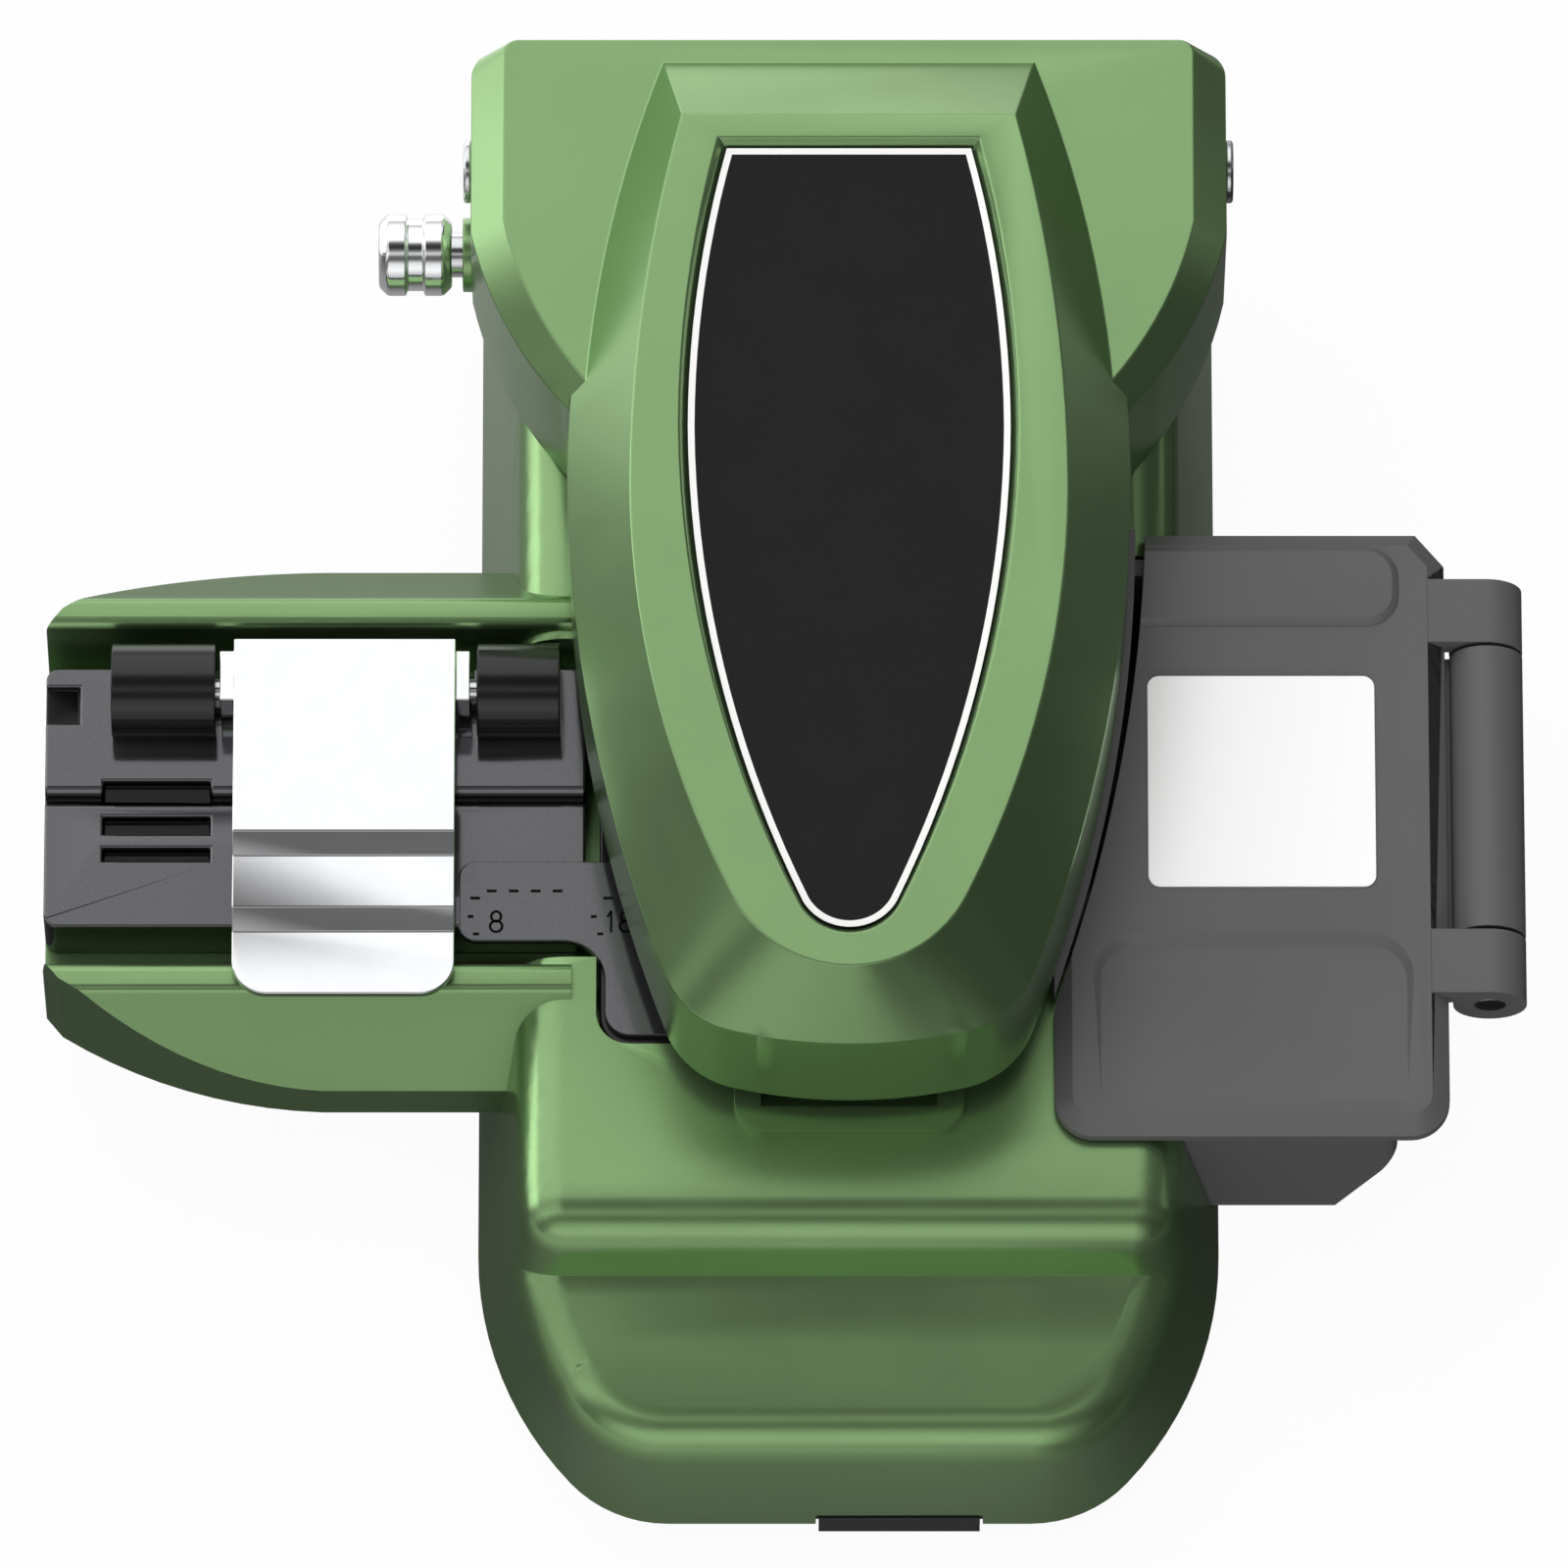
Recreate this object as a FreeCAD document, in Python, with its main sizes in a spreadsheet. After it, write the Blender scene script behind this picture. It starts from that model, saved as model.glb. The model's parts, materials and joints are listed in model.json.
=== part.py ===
"""Fibre cleaver: die-cast base with a fibre holder, a sliding blade, a hinged arm and a waste box.

Millimetres. +X runs right along the fibre, +Y runs from the nose to the arm's hinge, +Z is up.
The origin is the middle of the rubber mat's underside, on which the cleaver stands.
"""
import FreeCAD, Part
import math
import os
import re
import Sketcher

doc = FreeCAD.newDocument("FibreCleaver")
sheet = doc.addObject("Spreadsheet::Sheet", "Sizes")

# Driving dimensions: alias, value, what it sizes.
SIZES = [
    # Base casting
    ("base_half", 33.9, "half width of the base at its foot"),
    ("base_front", -64.0, "front face of the base"),
    ("base_back", 59.0, "back face of the base"),
    ("corner_reach", 17.4, "how far the front corners reach in from the base's sides"),
    ("front_flat", "=base_half - corner_reach", "half length of the straight part of the front"),
    ("corner_radius", 12.0, "radius of the front corners where they meet the front"),
    ("back_radius", 4.0, "radius of the back corners"),
    ("corner_run", 26.0, "length of the front corner's curve along the side"),
    ("base_taper", 4.2, "how far each side leans in between foot and deck"),
    ("deck_z", 28.0, "height of the deck"),
    ("deck_round", 4.5, "radius of the deck's outer edge"),
    ("ledge_z", 21.0, "height of the front ledge at its foot"),
    ("ledge_drop", 1.6, "fall of the front ledge towards the front"),
    ("ledge_depth", 17.5, "depth of the front ledge from the front face"),
    ("step_lean", 1.6, "lean of the step from the ledge up to the deck"),
    ("notch_half", 7.6, "half width of the notch in the front foot"),
    ("notch_x", 4.6, "middle of the notch in the front foot"),
    ("notch_height", 1.8, "height of the notch above the foot"),
    ("notch_depth", 1.2, "depth of that notch"),
    ("mat_thick", 1.2, "rubber mat's thickness"),
    ("mat_half_x", 24.0, "half width of the rubber mat"),
    ("mat_half_y", 50.0, "half length of the rubber mat"),
    ("mat_corner", 4.0, "corner radius of the rubber mat"),
    ("plate_thick", 2.0, "base plate's thickness"),
    ("plate_inset", 1.2, "base plate's edge behind the casting's foot"),
    ("foot_screw_x", 27.0, "base plate screws, from the middle line"),
    ("foot_screw_y", 36.0, "base plate screws, from the middle"),
    ("screw_shaft", 1.25, "radius of the small machine screws"),
    ("screw_head", 2.4, "radius of their heads"),
    ("screw_head_depth", 1.4, "height of their heads"),
    ("screw_length", 7.0, "length of their shafts"),
    ("slip", 0.05, "radial clearance of a pin in its bore"),
    ("past", 1.0, "how far a cut starts or ends beyond the face that it cuts"),
    ("sunk", 0.5, "how deep an added form starts inside what carries it"),
    ("fit_gap", 0.25, "gap between fitted pieces that are assembled by hand"),
    # Left platform that carries the holder
    ("platform_left", -73.3, "left end of the platform"),
    ("platform_low", 14.0, "underside of the platform"),
    ("platform_edge_z", 19.5, "top of its outer walls"),
    ("platform_front", -28.0, "its front wall"),
    ("platform_back", 23.0, "its back wall"),
    ("platform_pull", 8.0, "how far its outline draws in at the left end"),
    ("platform_straight", -48.0, "where the drawing in starts"),
    ("ridge_z", 29.0, "height of its two ridges"),
    ("ridge_lean", 0.9, "lean of the channel's walls"),
    ("ridge_round", 1.0, "radius of the ridges' edges"),
    ("ridge_width", 2.6, "width of a ridge's flat"),
    ("channel_front", -18.2, "front wall of the channel for the holder"),
    ("channel_back", 13.0, "back wall of the channel"),
    ("channel_z", 20.0, "floor of the channel"),
    # Fibre line, holder and clip
    ("fibre_y", -2.0, "fibre line"),
    ("fibre_z", 27.0, "height of the fibre's axis"),
    ("holder_half", 12.7, "half width of the fibre holder"),
    ("holder_right", -24.0, "right end of the holder"),
    ("holder_z", 26.5, "top of the holder"),
    ("holder_corner", 1.2, "corner radius of the holder"),
    ("groove_half", 0.9, "half width of the V groove"),
    ("slot_left", -68.0, "left end of the holder's relief slots"),
    ("slot_right", -58.2, "right end of the relief slots"),
    ("slot_width", 2.2, "width of the widest relief slot"),
    ("slot_depth", 1.2, "depth of a relief slot"),
    ("slot_back", -1.5, "middle of the widest slot, across the groove"),
    ("slot_middle", -4.75, "middle of the second slot"),
    ("slot_front", -7.6, "middle of the narrowest slot"),
    ("knuckle_radius", 4.3, "radius of the clip's hinge knuckles"),
    ("knuckle_y", 7.4, "clip hinge axis"),
    ("knuckle_z", 29.2, "height of the clip hinge axis"),
    ("knuckle_out_left", -67.2, "outer end of the left knuckle"),
    ("knuckle_in_left", -57.7, "inner end of the left knuckle"),
    ("knuckle_in_right", -33.9, "inner end of the right knuckle"),
    ("knuckle_out_right", -26.3, "outer end of the right knuckle"),
    ("clip_pin", 0.9, "radius of the clip's hinge pin"),
    ("clip_left", -56.0, "left edge of the clip"),
    ("clip_right", -35.8, "right edge of the clip"),
    ("clip_sheet", 1.0, "thickness of the clip's sheet"),
    ("clip_z", 32.4, "underside of the clip's upper flat"),
    ("clip_step", 1.1, "height of each of the clip's two bends"),
    ("clip_bend_one", -8.0, "where the first bend starts"),
    ("clip_bend_two", -15.0, "where the second bend starts"),
    ("clip_bend_run", 2.0, "length of a bend"),
    ("clip_tip", -23.0, "front edge of the clip's tongue"),
    ("clip_corner", 3.2, "corner radius of the tongue"),
    ("clip_heel", 3.4, "how far the clip reaches behind its hinge axis"),
    ("heel_relief", 2.0, "depth of the holder's relief for the clip's heel"),
    ("clip_ear", 1.3, "width of a clip ear"),
    ("clip_ear_reach", 2.4, "radius of a clip ear round the hinge pin"),
    ("pad_half_x", 7.0, "half length of the rubber pad under the clip"),
    ("pad_half_y", 3.0, "half width of that pad"),
    ("scale_left", -35.5, "left end of the length scale"),
    ("scale_front", -16.4, "front edge of the scale"),
    ("scale_back", -8.6, "back edge of the scale"),
    ("scale_right", -11.5, "right end of the scale plate on the cleaving block"),
    ("scale_tail", -25.6, "front edge of the scale plate's tail on the block"),
    ("scale_neck", -22.2, "left edge of the tail"),
    ("scale_sweep", 3.8, "radius between the scale and its tail"),
    ("scale_round", 2.4, "radius of the tail's corner"),
    ("scale_corner", 1.5, "corner radius of the scale plate"),
    ("scale_thick", 0.8, "thickness of the scale plate"),
    # Cleaving block, blade and its slide
    ("block_left", -22.7, "left face of the cleaving block"),
    ("block_right", 13.0, "right face of the block"),
    ("block_front", -26.4, "front face of the block"),
    ("block_back", 20.5, "back face of the block"),
    ("block_corner", 3.0, "corner radius of the block"),
    ("blade_slot_half", 1.4, "half width of the blade's slot"),
    ("anvil_pad_half", 2.2, "half width of a clamp pad along the fibre"),
    ("anvil_pad_x", 4.6, "middle of each clamp pad from the blade"),
    ("anvil_pad_y", 4.0, "half length of a clamp pad"),
    ("pad_sink", 0.8, "how deep a lower pad sits in the block"),
    ("anvil_pad_rise", 0.3, "how far a lower pad stands above the block"),
    ("well_half", 9.0, "half width of the carriage well"),
    ("well_front", -25.2, "front wall of the carriage well"),
    ("well_back", 21.0, "back wall of the well"),
    ("well_z", 6.5, "floor of the well"),
    ("rail_half", 3.5, "half width of the slide rail"),
    ("rail_height", 3.0, "height of the rail"),
    ("rail_neck", 0.8, "depth of the rail's side grooves"),
    ("blade_radius", 8.0, "radius of the round blade"),
    ("blade_thick", 0.8, "thickness of the blade"),
    ("blade_edge", 0.35, "depth of the blade's ground edge"),
    ("blade_start", 10.0, "blade axis with the arm closed"),
    ("blade_travel", 24.0, "travel of the blade carriage"),
    ("carriage_half_x", 7.0, "half width of the carriage"),
    ("carriage_half_y", 9.0, "half length of the carriage"),
    ("carriage_top", 22.0, "top of the carriage"),
    ("carriage_floor", 1.0, "floor of the carriage's fork above the rail gap"),
    ("axle_radius", 1.0, "radius of the blade's axle"),
    ("hub_neck", 2.0, "radius of the hub inside the blade"),
    ("blade_nip", 0.05, "how far the blade's edge stands above the fibre's axis"),
    ("hub_radius", 2.9, "radius of the blade's hub"),
    ("hub_half", 2.6, "half length of the blade's hub"),
    # Arm
    ("hinge_y", 56.0, "arm hinge axis"),
    ("hinge_z", 36.0, "height of the arm hinge axis"),
    ("hinge_pin", 2.0, "radius of the arm's hinge pin"),
    ("bush_radius", 3.0, "outer radius of the hinge bushes"),
    ("hinge_head", 2.9, "radius of the hinge pin's heads"),
    ("hinge_head_thick", 0.8, "thickness of those heads"),
    ("cheek_shy", 3.5, "how far a hinge cheek's outer face stands behind the base's foot"),
    ("cheek_thick", 10.4, "thickness of a hinge cheek"),
    ("cheek_out", "=base_half - cheek_shy", "outer face of a hinge cheek"),
    ("cheek_in", "=cheek_out - cheek_thick", "inner face of a hinge cheek"),
    ("cheek_reach", 11.5, "how far the cheek web reaches in front of the hinge axis"),
    ("cheek_web_z", 38.6, "top of that web"),
    ("cheek_radius", 6.0, "radius of a cheek round the hinge axis"),
    ("arm_low", 31.6, "underside of the arm"),
    ("arm_break_z", 46.0, "height where the arm's walls break into its bevel"),
    ("arm_top_z", 55.0, "flat top of the arm"),
    ("arm_back", 64.0, "back end of the arm"),
    ("arm_tip", -33.6, "nose of the arm"),
    ("arm_back_half", 17.4, "half width of the arm at its back"),
    ("arm_half", 25.6, "half width of the arm at its widest"),
    ("arm_wide_y", 22.0, "where the arm is widest"),
    ("arm_shoulder_half", 16.6, "half width where the nose begins"),
    ("arm_shoulder_y", -27.0, "where the nose begins"),
    ("arm_nose_half", 10.5, "half width of the nose's end"),
    ("arm_nose_y", -32.4, "where the nose's end begins"),
    ("arm_swell", 0.127, "swell of the nose's corners, as a share of their chord, for a smooth run"),
    ("top_back", 53.5, "back end of the arm's flat top"),
    ("top_tip", -29.6, "nose of the flat top"),
    ("top_back_half", 15.2, "half width of the flat top at its back"),
    ("top_half", 19.8, "half width of the flat top at its widest"),
    ("top_shoulder_half", 10.6, "half width of the flat top where its nose begins"),
    ("top_shoulder_y", -22.6, "where the flat top's nose begins"),
    ("top_shy", 5.0, "how far the top's widest place lies in front of the arm's"),
    ("top_nose_half", 6.4, "half width of its nose's end"),
    ("top_nose_y", -27.6, "where its nose's end begins"),
    ("top_swell", 0.067, "swell of its nose's corners, as a share of their chord"),
    ("arm_wall", 2.6, "wall of the arm"),
    ("arm_roof_z", 44.0, "underside of the arm's roof"),
    ("hood_z", 48.0, "top of the hood"),
    ("hood_low", 28.6, "lower edge of the hood's sides"),
    ("hood_side_y", 46.0, "where the hood's sides start to draw in"),
    ("hood_join_half", 23.0, "half width where the hood meets the arm"),
    ("hood_join_y", 26.0, "where the hood meets the arm"),
    ("hood_lap", 6.0, "how far the hood's plan reaches in under the arm's side"),
    ("hood_bevel", 3.0, "bevel round the hood"),
    ("hood_round", 2.4, "corner radius at the hood's back"),
    ("hood_wall", 3.2, "side wall of the hood"),
    ("hood_gap", 0.9, "gap between a hinge cheek and the hood's wall"),
    ("hood_half", "=cheek_out + hood_gap + hood_wall", "half width of the hood over the hinge"),
    ("hood_back_wall", 2.0, "back wall of the hood"),
    ("hood_back_low", 40.0, "lower edge of the hood's back wall"),
    ("hood_roof_z", 45.2, "underside of the hood's roof"),
    ("hood_front_in", 41.5, "front end of the hinge's room in the hood"),
    ("recess_back", 51.2, "back end of the recess for the inset"),
    ("recess_tip", -26.4, "front end of that recess"),
    ("recess_back_half", 11.9, "half width of the recess at its back"),
    ("recess_half", 15.4, "half width of the recess at its widest"),
    ("recess_wide_y", 23.0, "where the recess is widest"),
    ("recess_nose", 4.6, "half width where the recess's nose begins"),
    ("recess_nose_y", -23.4, "where the recess's nose begins"),
    ("recess_depth", 1.3, "depth of the recess"),
    ("recess_lean", 0.8, "how far the recess wall leans in"),
    ("inset_thick", 0.6, "thickness of the inset panel"),
    ("under_plate_z", 33.2, "underside of the plate inside the arm"),
    ("under_plate_thick", 1.8, "thickness of that plate"),
    ("under_plate_back", 39.0, "back end of that plate"),
    ("arm_open", 62.0, "opening angle of the arm, degrees"),
    ("upper_pad_gap", 0.3, "gap between the clamp pads with the arm closed"),
    ("anvil_half", 0.9, "half width of the anvil along the fibre"),
    ("anvil_gap", 0.4, "gap between fibre and anvil"),
    # Stop pin with its knob
    ("stop_y", 50.0, "stop pin's axis"),
    ("stop_z", 30.6, "height of the stop pin's axis"),
    ("stop_slack", 0.25, "clearance of the stop pin in its slot"),
    ("stop_radius", 2.05, "radius of the stop pin"),
    ("stop_reach", 1.6, "how far the pin reaches into its slot"),
    ("stop_slot_depth", 2.0, "depth of the arc slot in the cheek"),
    ("knob_gap", 1.9, "gap between the knob and the hood's side"),
    ("knob_length", 6.7, "length of the knob"),
    ("knob_right", "=-hood_half - knob_gap", "inner end of the knob"),
    ("knob_left", "=knob_right - knob_length", "outer end of the knob"),
    ("knob_radius", 3.75, "radius of the knob"),
    ("knob_chamfer", 0.8, "chamfer of the knob"),
    ("knob_groove", 0.45, "depth of the knob's groove"),
    ("knob_groove_half", 0.8, "half width of the knob's groove"),
    ("boss_radius", 3.4, "radius of the boss that guides the stop pin"),
    ("boss_rise", 0.9, "height of that boss"),
    # Nose catch
    ("catch_half", 10.4, "half width of the catch rim on the deck"),
    ("catch_front", -35.6, "front edge of the catch rim"),
    ("catch_back", -28.6, "back edge of the catch rim"),
    ("catch_corner", 3.0, "corner radius of the catch rim"),
    ("catch_floor", 0.3, "floor of the catch rim above the deck"),
    ("catch_rise", 1.2, "height of the catch rim"),
    ("catch_rim", 2.4, "width of the catch rim"),
    ("magnet_half_x", 5.0, "half length of the catch magnet"),
    ("magnet_half_y", 1.3, "half width of the catch magnet"),
    ("magnet_depth", 3.0, "depth of the catch magnet"),
    ("keeper_half_x", 5.0, "half length of the steel keeper in the arm"),
    ("keeper_y", -28.4, "middle of magnet and keeper"),
    # Waste box
    ("box_left", 18.6, "left face of the waste box"),
    ("box_right", 54.4, "right face of the waste box and its lid"),
    ("box_front", -36.2, "front of the waste box's rim"),
    ("box_back", 22.6, "back of the waste box's rim"),
    ("box_low", 7.0, "underside of the waste box"),
    ("box_rim_z", 28.0, "rim of the waste box"),
    ("box_wall", 1.6, "wall of the waste box"),
    ("box_inset", 1.8, "box wall behind the lid's edge"),
    ("box_side_inset", 4.5, "box side wall behind the lid's outer edge"),
    ("box_chamfer", 5.4, "width of the slope at the box's outer lower edge"),
    ("box_slope", 12.0, "height of that slope"),
    ("box_gap", 0.4, "gap between the box and the base casting"),
    ("window_half", 4.0, "half width of the fibre's window into the box"),
    ("window_drop", 2.6, "how far the window reaches below the fibre"),
    ("window_rise", 2.2, "how far it reaches above the fibre"),
    ("box_corner", 3.6, "corner radius of the lid"),
    ("lid_thick", 2.7, "thickness of the lid"),
    ("lid_seam", 0.3, "gap under and beside the lid"),
    ("lid_clear", 0.9, "clearance between the lid's edge and the arm's wall"),
    ("lid_flare", 0.6, "how much wider that clearance is at the lid's back"),
    ("lid_bevel", 1.6, "bevel round the lid"),
    ("lid_clip_x", 2.6, "width of the clipped corner at the lid's back"),
    ("lid_clip_y", 3.1, "length of that clipped corner"),
    ("hinge_reach", 3.8, "how far the lid's hinge axis lies beyond the box"),
    ("lid_hinge_x", "=box_right + hinge_reach", "lid hinge axis"),
    ("lid_hinge_z", 27.6, "height of the lid hinge axis"),
    ("barrel_radius", 3.35, "radius of the lid hinge's barrels"),
    ("barrel_gap", 0.35, "gap between the barrels"),
    ("lid_pin", 1.4, "radius of the lid's hinge pin"),
    ("barrel_front", -22.8, "front end of the lid hinge"),
    ("barrel_back", 17.7, "back end of the lid hinge"),
    ("barrel_end", 6.2, "length of each end barrel"),
    ("scoop_left", 22.8, "left end of the thumb scoop"),
    ("scoop_shy", 3.8, "how far the thumb scoop ends before the lid's right edge"),
    ("scoop_right", "=box_right - scoop_shy", "right end of the thumb scoop"),
    ("scoop_front", -32.2, "front edge of the thumb scoop"),
    ("scoop_back", -17.8, "back edge of the thumb scoop"),
    ("scoop_depth", 0.9, "depth of the thumb scoop at its back edge"),
    ("scoop_lean", 42.0, "lean of the scoop's walls, degrees"),
    ("raise_left", 23.0, "left end of the raised back panel, before the arm's clearance cuts it"),
    ("raise_shy", 4.2, "how far the raised back panel ends before the lid's right edge"),
    ("raise_right", "=box_right - raise_shy", "right end of the raised back panel"),
    ("raise_front", 13.0, "front edge of the raised back panel"),
    ("raise_rise", 0.7, "height of the raised back panel"),
    ("raise_corner", 3.0, "corner radius of the raised back panel"),
    ("raise_bevel", 0.6, "bevel round the raised back panel"),
    ("label_left", 27.2, "left edge of the bare label plate"),
    ("label_right", 47.9, "right edge of the label plate"),
    ("label_front", -12.6, "front edge of the label plate"),
    ("label_back", 8.0, "back edge of the label plate"),
    ("label_corner", 1.1, "corner radius of the label plate"),
    ("label_thick", 0.3, "thickness of the label plate"),
    # Rollers that draw the off-cut into the box
    ("roller_x", 15.6, "axis of the two rollers"),
    ("roller_radius", 2.0, "radius of the rubber rollers"),
    ("lower_roller_z", 24.9, "height of the lower roller's axis"),
    ("roller_room", 0.6, "room round the lower roller"),
    ("roller_shaft_end", 3.6, "how far the lower roller's shaft stands out of the rubber"),
    ("roller_half", 5.0, "half length of the rollers"),
    ("roller_shaft", 0.8, "radius of the roller shafts"),
    ("roller_gap", 0.2, "gap between the rollers, through which the fibre runs"),
    ("roller_arm_wall", 1.4, "thickness of the roller brackets' cheeks"),
]
NAMES = {alias for alias, _, _ in SIZES}
for row, (alias, value, note) in enumerate(SIZES, 1):
    sheet.set(f"A{row}", note)
    sheet.set(f"B{row}", str(value))
    sheet.setAlias(f"B{row}", alias)
doc.recompute()

pieces = []


def linked(expression):
    """The expression as another object writes it, with each alias read from the sheet."""
    return re.sub(r"[A-Za-z_][A-Za-z0-9_]*",
                  lambda word: "Sizes." + word.group(0) if word.group(0) in NAMES else word.group(0),
                  str(expression))


def size(expression):
    """Value of an expression of the sheet's aliases."""
    return float(sheet.evalExpression(str(expression)))


def bind(feature, **expressions):
    """Tie properties of a feature to the sheet."""
    for name, expression in expressions.items():
        feature.setExpression(name, linked(expression))


def new_body(label):
    """A part design body for one sub-part."""
    body = doc.addObject("PartDesign::Body", label)
    body.Label = label
    pieces.append(body)
    return body


def new_sketch(body, plane, offset="0"):
    """A sketch on one of the body's own origin planes, moved along the plane's normal."""
    sketch = body.newObject("Sketcher::SketchObject", body.Label + "_sketch")
    origin_plane = next(f for f in body.Origin.OriginFeatures if f.Role == plane)
    sketch.AttachmentSupport = [(origin_plane, "")]
    sketch.MapMode = "FlatFace"
    sketch.setExpression("AttachmentOffset.Base.z", linked(offset))
    return sketch


def place(sketch, edge, end, x, y):
    """Dimension one point of a sketch from the sketch's origin."""
    for kind, expression in (("DistanceX", x), ("DistanceY", y)):
        index = sketch.addConstraint(Sketcher.Constraint(kind, -1, 1, edge, end, size(expression)))
        sketch.setExpression(f"Constraints[{index}]", linked(expression))


def outline(sketch, *points):
    """Closed outline through corners (x, y), with an arc wherever a point (x, y, "via") lies between."""
    corners = [index for index, point in enumerate(points) if len(point) == 2]
    spots = [FreeCAD.Vector(size(point[0]), size(point[1]), 0) for point in points]
    first = sketch.GeometryCount
    ends = []
    for index, following in zip(corners, corners[1:] + corners[:1]):
        middle = (index + 1) % len(points)
        start, end = spots[index], spots[following]
        if middle == following:
            sketch.addGeometry(Part.LineSegment(start, end), False)
            ends.append((1, 2))
            continue
        # A sketch stores its arcs anticlockwise, so a clockwise one is added from its far end.
        turn = (spots[middle] - start).cross(end - spots[middle]).z
        arc = Part.Arc(start, spots[middle], end) if turn > 0 else Part.Arc(end, spots[middle], start)
        sketch.addGeometry(arc, False)
        ends.append((1, 2) if turn > 0 else (2, 1))
    for number, index in enumerate(corners):
        edge, following = first + number, first + (number + 1) % len(corners)
        near, far = ends[number]
        next_near = ends[(number + 1) % len(corners)][0]
        sketch.addConstraint(Sketcher.Constraint("Coincident", edge, far, following, next_near))
        place(sketch, edge, near, points[index][0], points[index][1])
        middle = (index + 1) % len(points)
        if len(points[middle]) == 3:
            via = sketch.addGeometry(Part.Point(spots[middle]), True)
            place(sketch, via, 1, points[middle][0], points[middle][1])
            sketch.addConstraint(Sketcher.Constraint("PointOnObject", via, 1, edge))


def rectangle(sketch, left, low, right, high):
    """Rectangle whose sides are placed by expressions."""
    outline(sketch, (left, low), (right, low), (right, high), (left, high))


def rounded(sketch, left, low, right, high, radius):
    """Rectangle with round corners."""
    cut = f"({radius})*(1 - sqrt(0.5))"
    outline(
        sketch,
        (f"{left} + {radius}", low),
        (f"{right} - ({radius})", low), (f"{right} - {cut}", f"{low} + {cut}", "via"),
        (right, f"{low} + {radius}"),
        (right, f"{high} - ({radius})"), (f"{right} - {cut}", f"{high} - {cut}", "via"),
        (f"{right} - ({radius})", high),
        (f"{left} + {radius}", high), (f"{left} + {cut}", f"{high} - {cut}", "via"),
        (left, f"{high} - ({radius})"),
        (left, f"{low} + {radius}"), (f"{left} + {cut}", f"{low} + {cut}", "via"),
    )


def circle(sketch, x, y, radius):
    """Circle placed and sized by expressions."""
    centre = FreeCAD.Vector(size(x), size(y), 0)
    edge = sketch.addGeometry(Part.Circle(centre, FreeCAD.Vector(0, 0, 1), size(radius)), False)
    place(sketch, edge, 3, x, y)
    index = sketch.addConstraint(Sketcher.Constraint("Radius", edge, size(radius)))
    sketch.setExpression(f"Constraints[{index}]", linked(radius))


def shuttle(sketch, back, back_half, half, wide_y, shoulder_half, shoulder_y, nose_half, nose_y, tip, swell):
    """The arm's plan: a straight back, sides bowed to the widest point and a rounded nose."""
    def side(sign):
        """Points of one side from the back corner to the nose's end; sign is "" or "-"."""
        return [
            (f"{sign}({back_half})", back),
            (f"{sign}({half} - ({half} - {back_half})/4)", f"({back} + {wide_y})/2", "via"),
            (f"{sign}({half})", wide_y),
            (f"{sign}({half} - ({half} - {shoulder_half})/4)", f"({wide_y} + {shoulder_y})/2", "via"),
            (f"{sign}({shoulder_half})", shoulder_y),
            (f"{sign}(({shoulder_half} + {nose_half})/2 + ({shoulder_y} - ({nose_y}))*{swell})",
             f"({shoulder_y} + {nose_y})/2 - ({shoulder_half} - {nose_half})*{swell}", "via"),
            (f"{sign}({nose_half})", nose_y),
        ]
    outline(sketch, *side("-"), ("0", tip, "via"), *side("")[::-1])


def grown(body, before):
    """Recompute and say whether the body's volume rose, fell or stayed."""
    doc.recompute()
    after = body.Shape.Volume
    if abs(after - before) < 1e-6:
        raise RuntimeError(f"{body.Label}: {body.Tip.Name} changes nothing: {body.Tip.getStatusString()}")
    return after > before


def volume(body):
    """Volume of a body as built so far."""
    doc.recompute()
    return 0.0 if body.Shape.isNull() else body.Shape.Volume


def pad(body, sketch, length, reverse=False, **others):
    """Pad a sketch along its normal."""
    before = volume(body)
    feature = body.newObject("PartDesign::Pad", body.Label + "_pad")
    feature.Profile = sketch
    feature.Reversed = reverse
    bind(feature, Length=length, **others)
    if not grown(body, before):
        raise RuntimeError(f"{body.Label}: a pad adds nothing")
    return feature


def pocket(body, sketch, depth, reverse=False, **others):
    """Pocket a sketch against its normal, or along it when reversed."""
    before = volume(body)
    feature = body.newObject("PartDesign::Pocket", body.Label + "_pocket")
    feature.Profile = sketch
    feature.Reversed = reverse
    bind(feature, Length=depth, **others)
    if grown(body, before):
        raise RuntimeError(f"{body.Label}: a pocket cuts nothing")
    return feature


def loft(body, sketches, ruled=True):
    """Loft through sketches of like outlines."""
    feature = body.newObject("PartDesign::AdditiveLoft", body.Label + "_loft")
    feature.Profile = sketches[0]
    feature.Sections = sketches[1:]
    feature.Ruled = ruled
    doc.recompute()
    return feature


def edges_where(body, test):
    """Names of a body's edges whose middle, and the edge itself, pass a test."""
    doc.recompute()
    names = []
    for index, edge in enumerate(body.Shape.Edges, 1):
        if test(edge.BoundBox.Center, edge):
            names.append(f"Edge{index}")
    if not names:
        raise RuntimeError(f"{body.Label}: no edge passes the test")
    return names


def fillet(body, radius, test):
    """Round the edges that pass a test."""
    names = edges_where(body, test)
    base = body.Tip
    feature = body.newObject("PartDesign::Fillet", body.Label + "_fillet")
    feature.Base = (base, names)
    bind(feature, Radius=radius)
    doc.recompute()
    return feature


def chamfer(body, depth, test):
    """Chamfer the edges that pass a test."""
    names = edges_where(body, test)
    base = body.Tip
    feature = body.newObject("PartDesign::Chamfer", body.Label + "_chamfer")
    feature.Base = (base, names)
    bind(feature, Size=depth)
    doc.recompute()
    return feature


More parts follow.
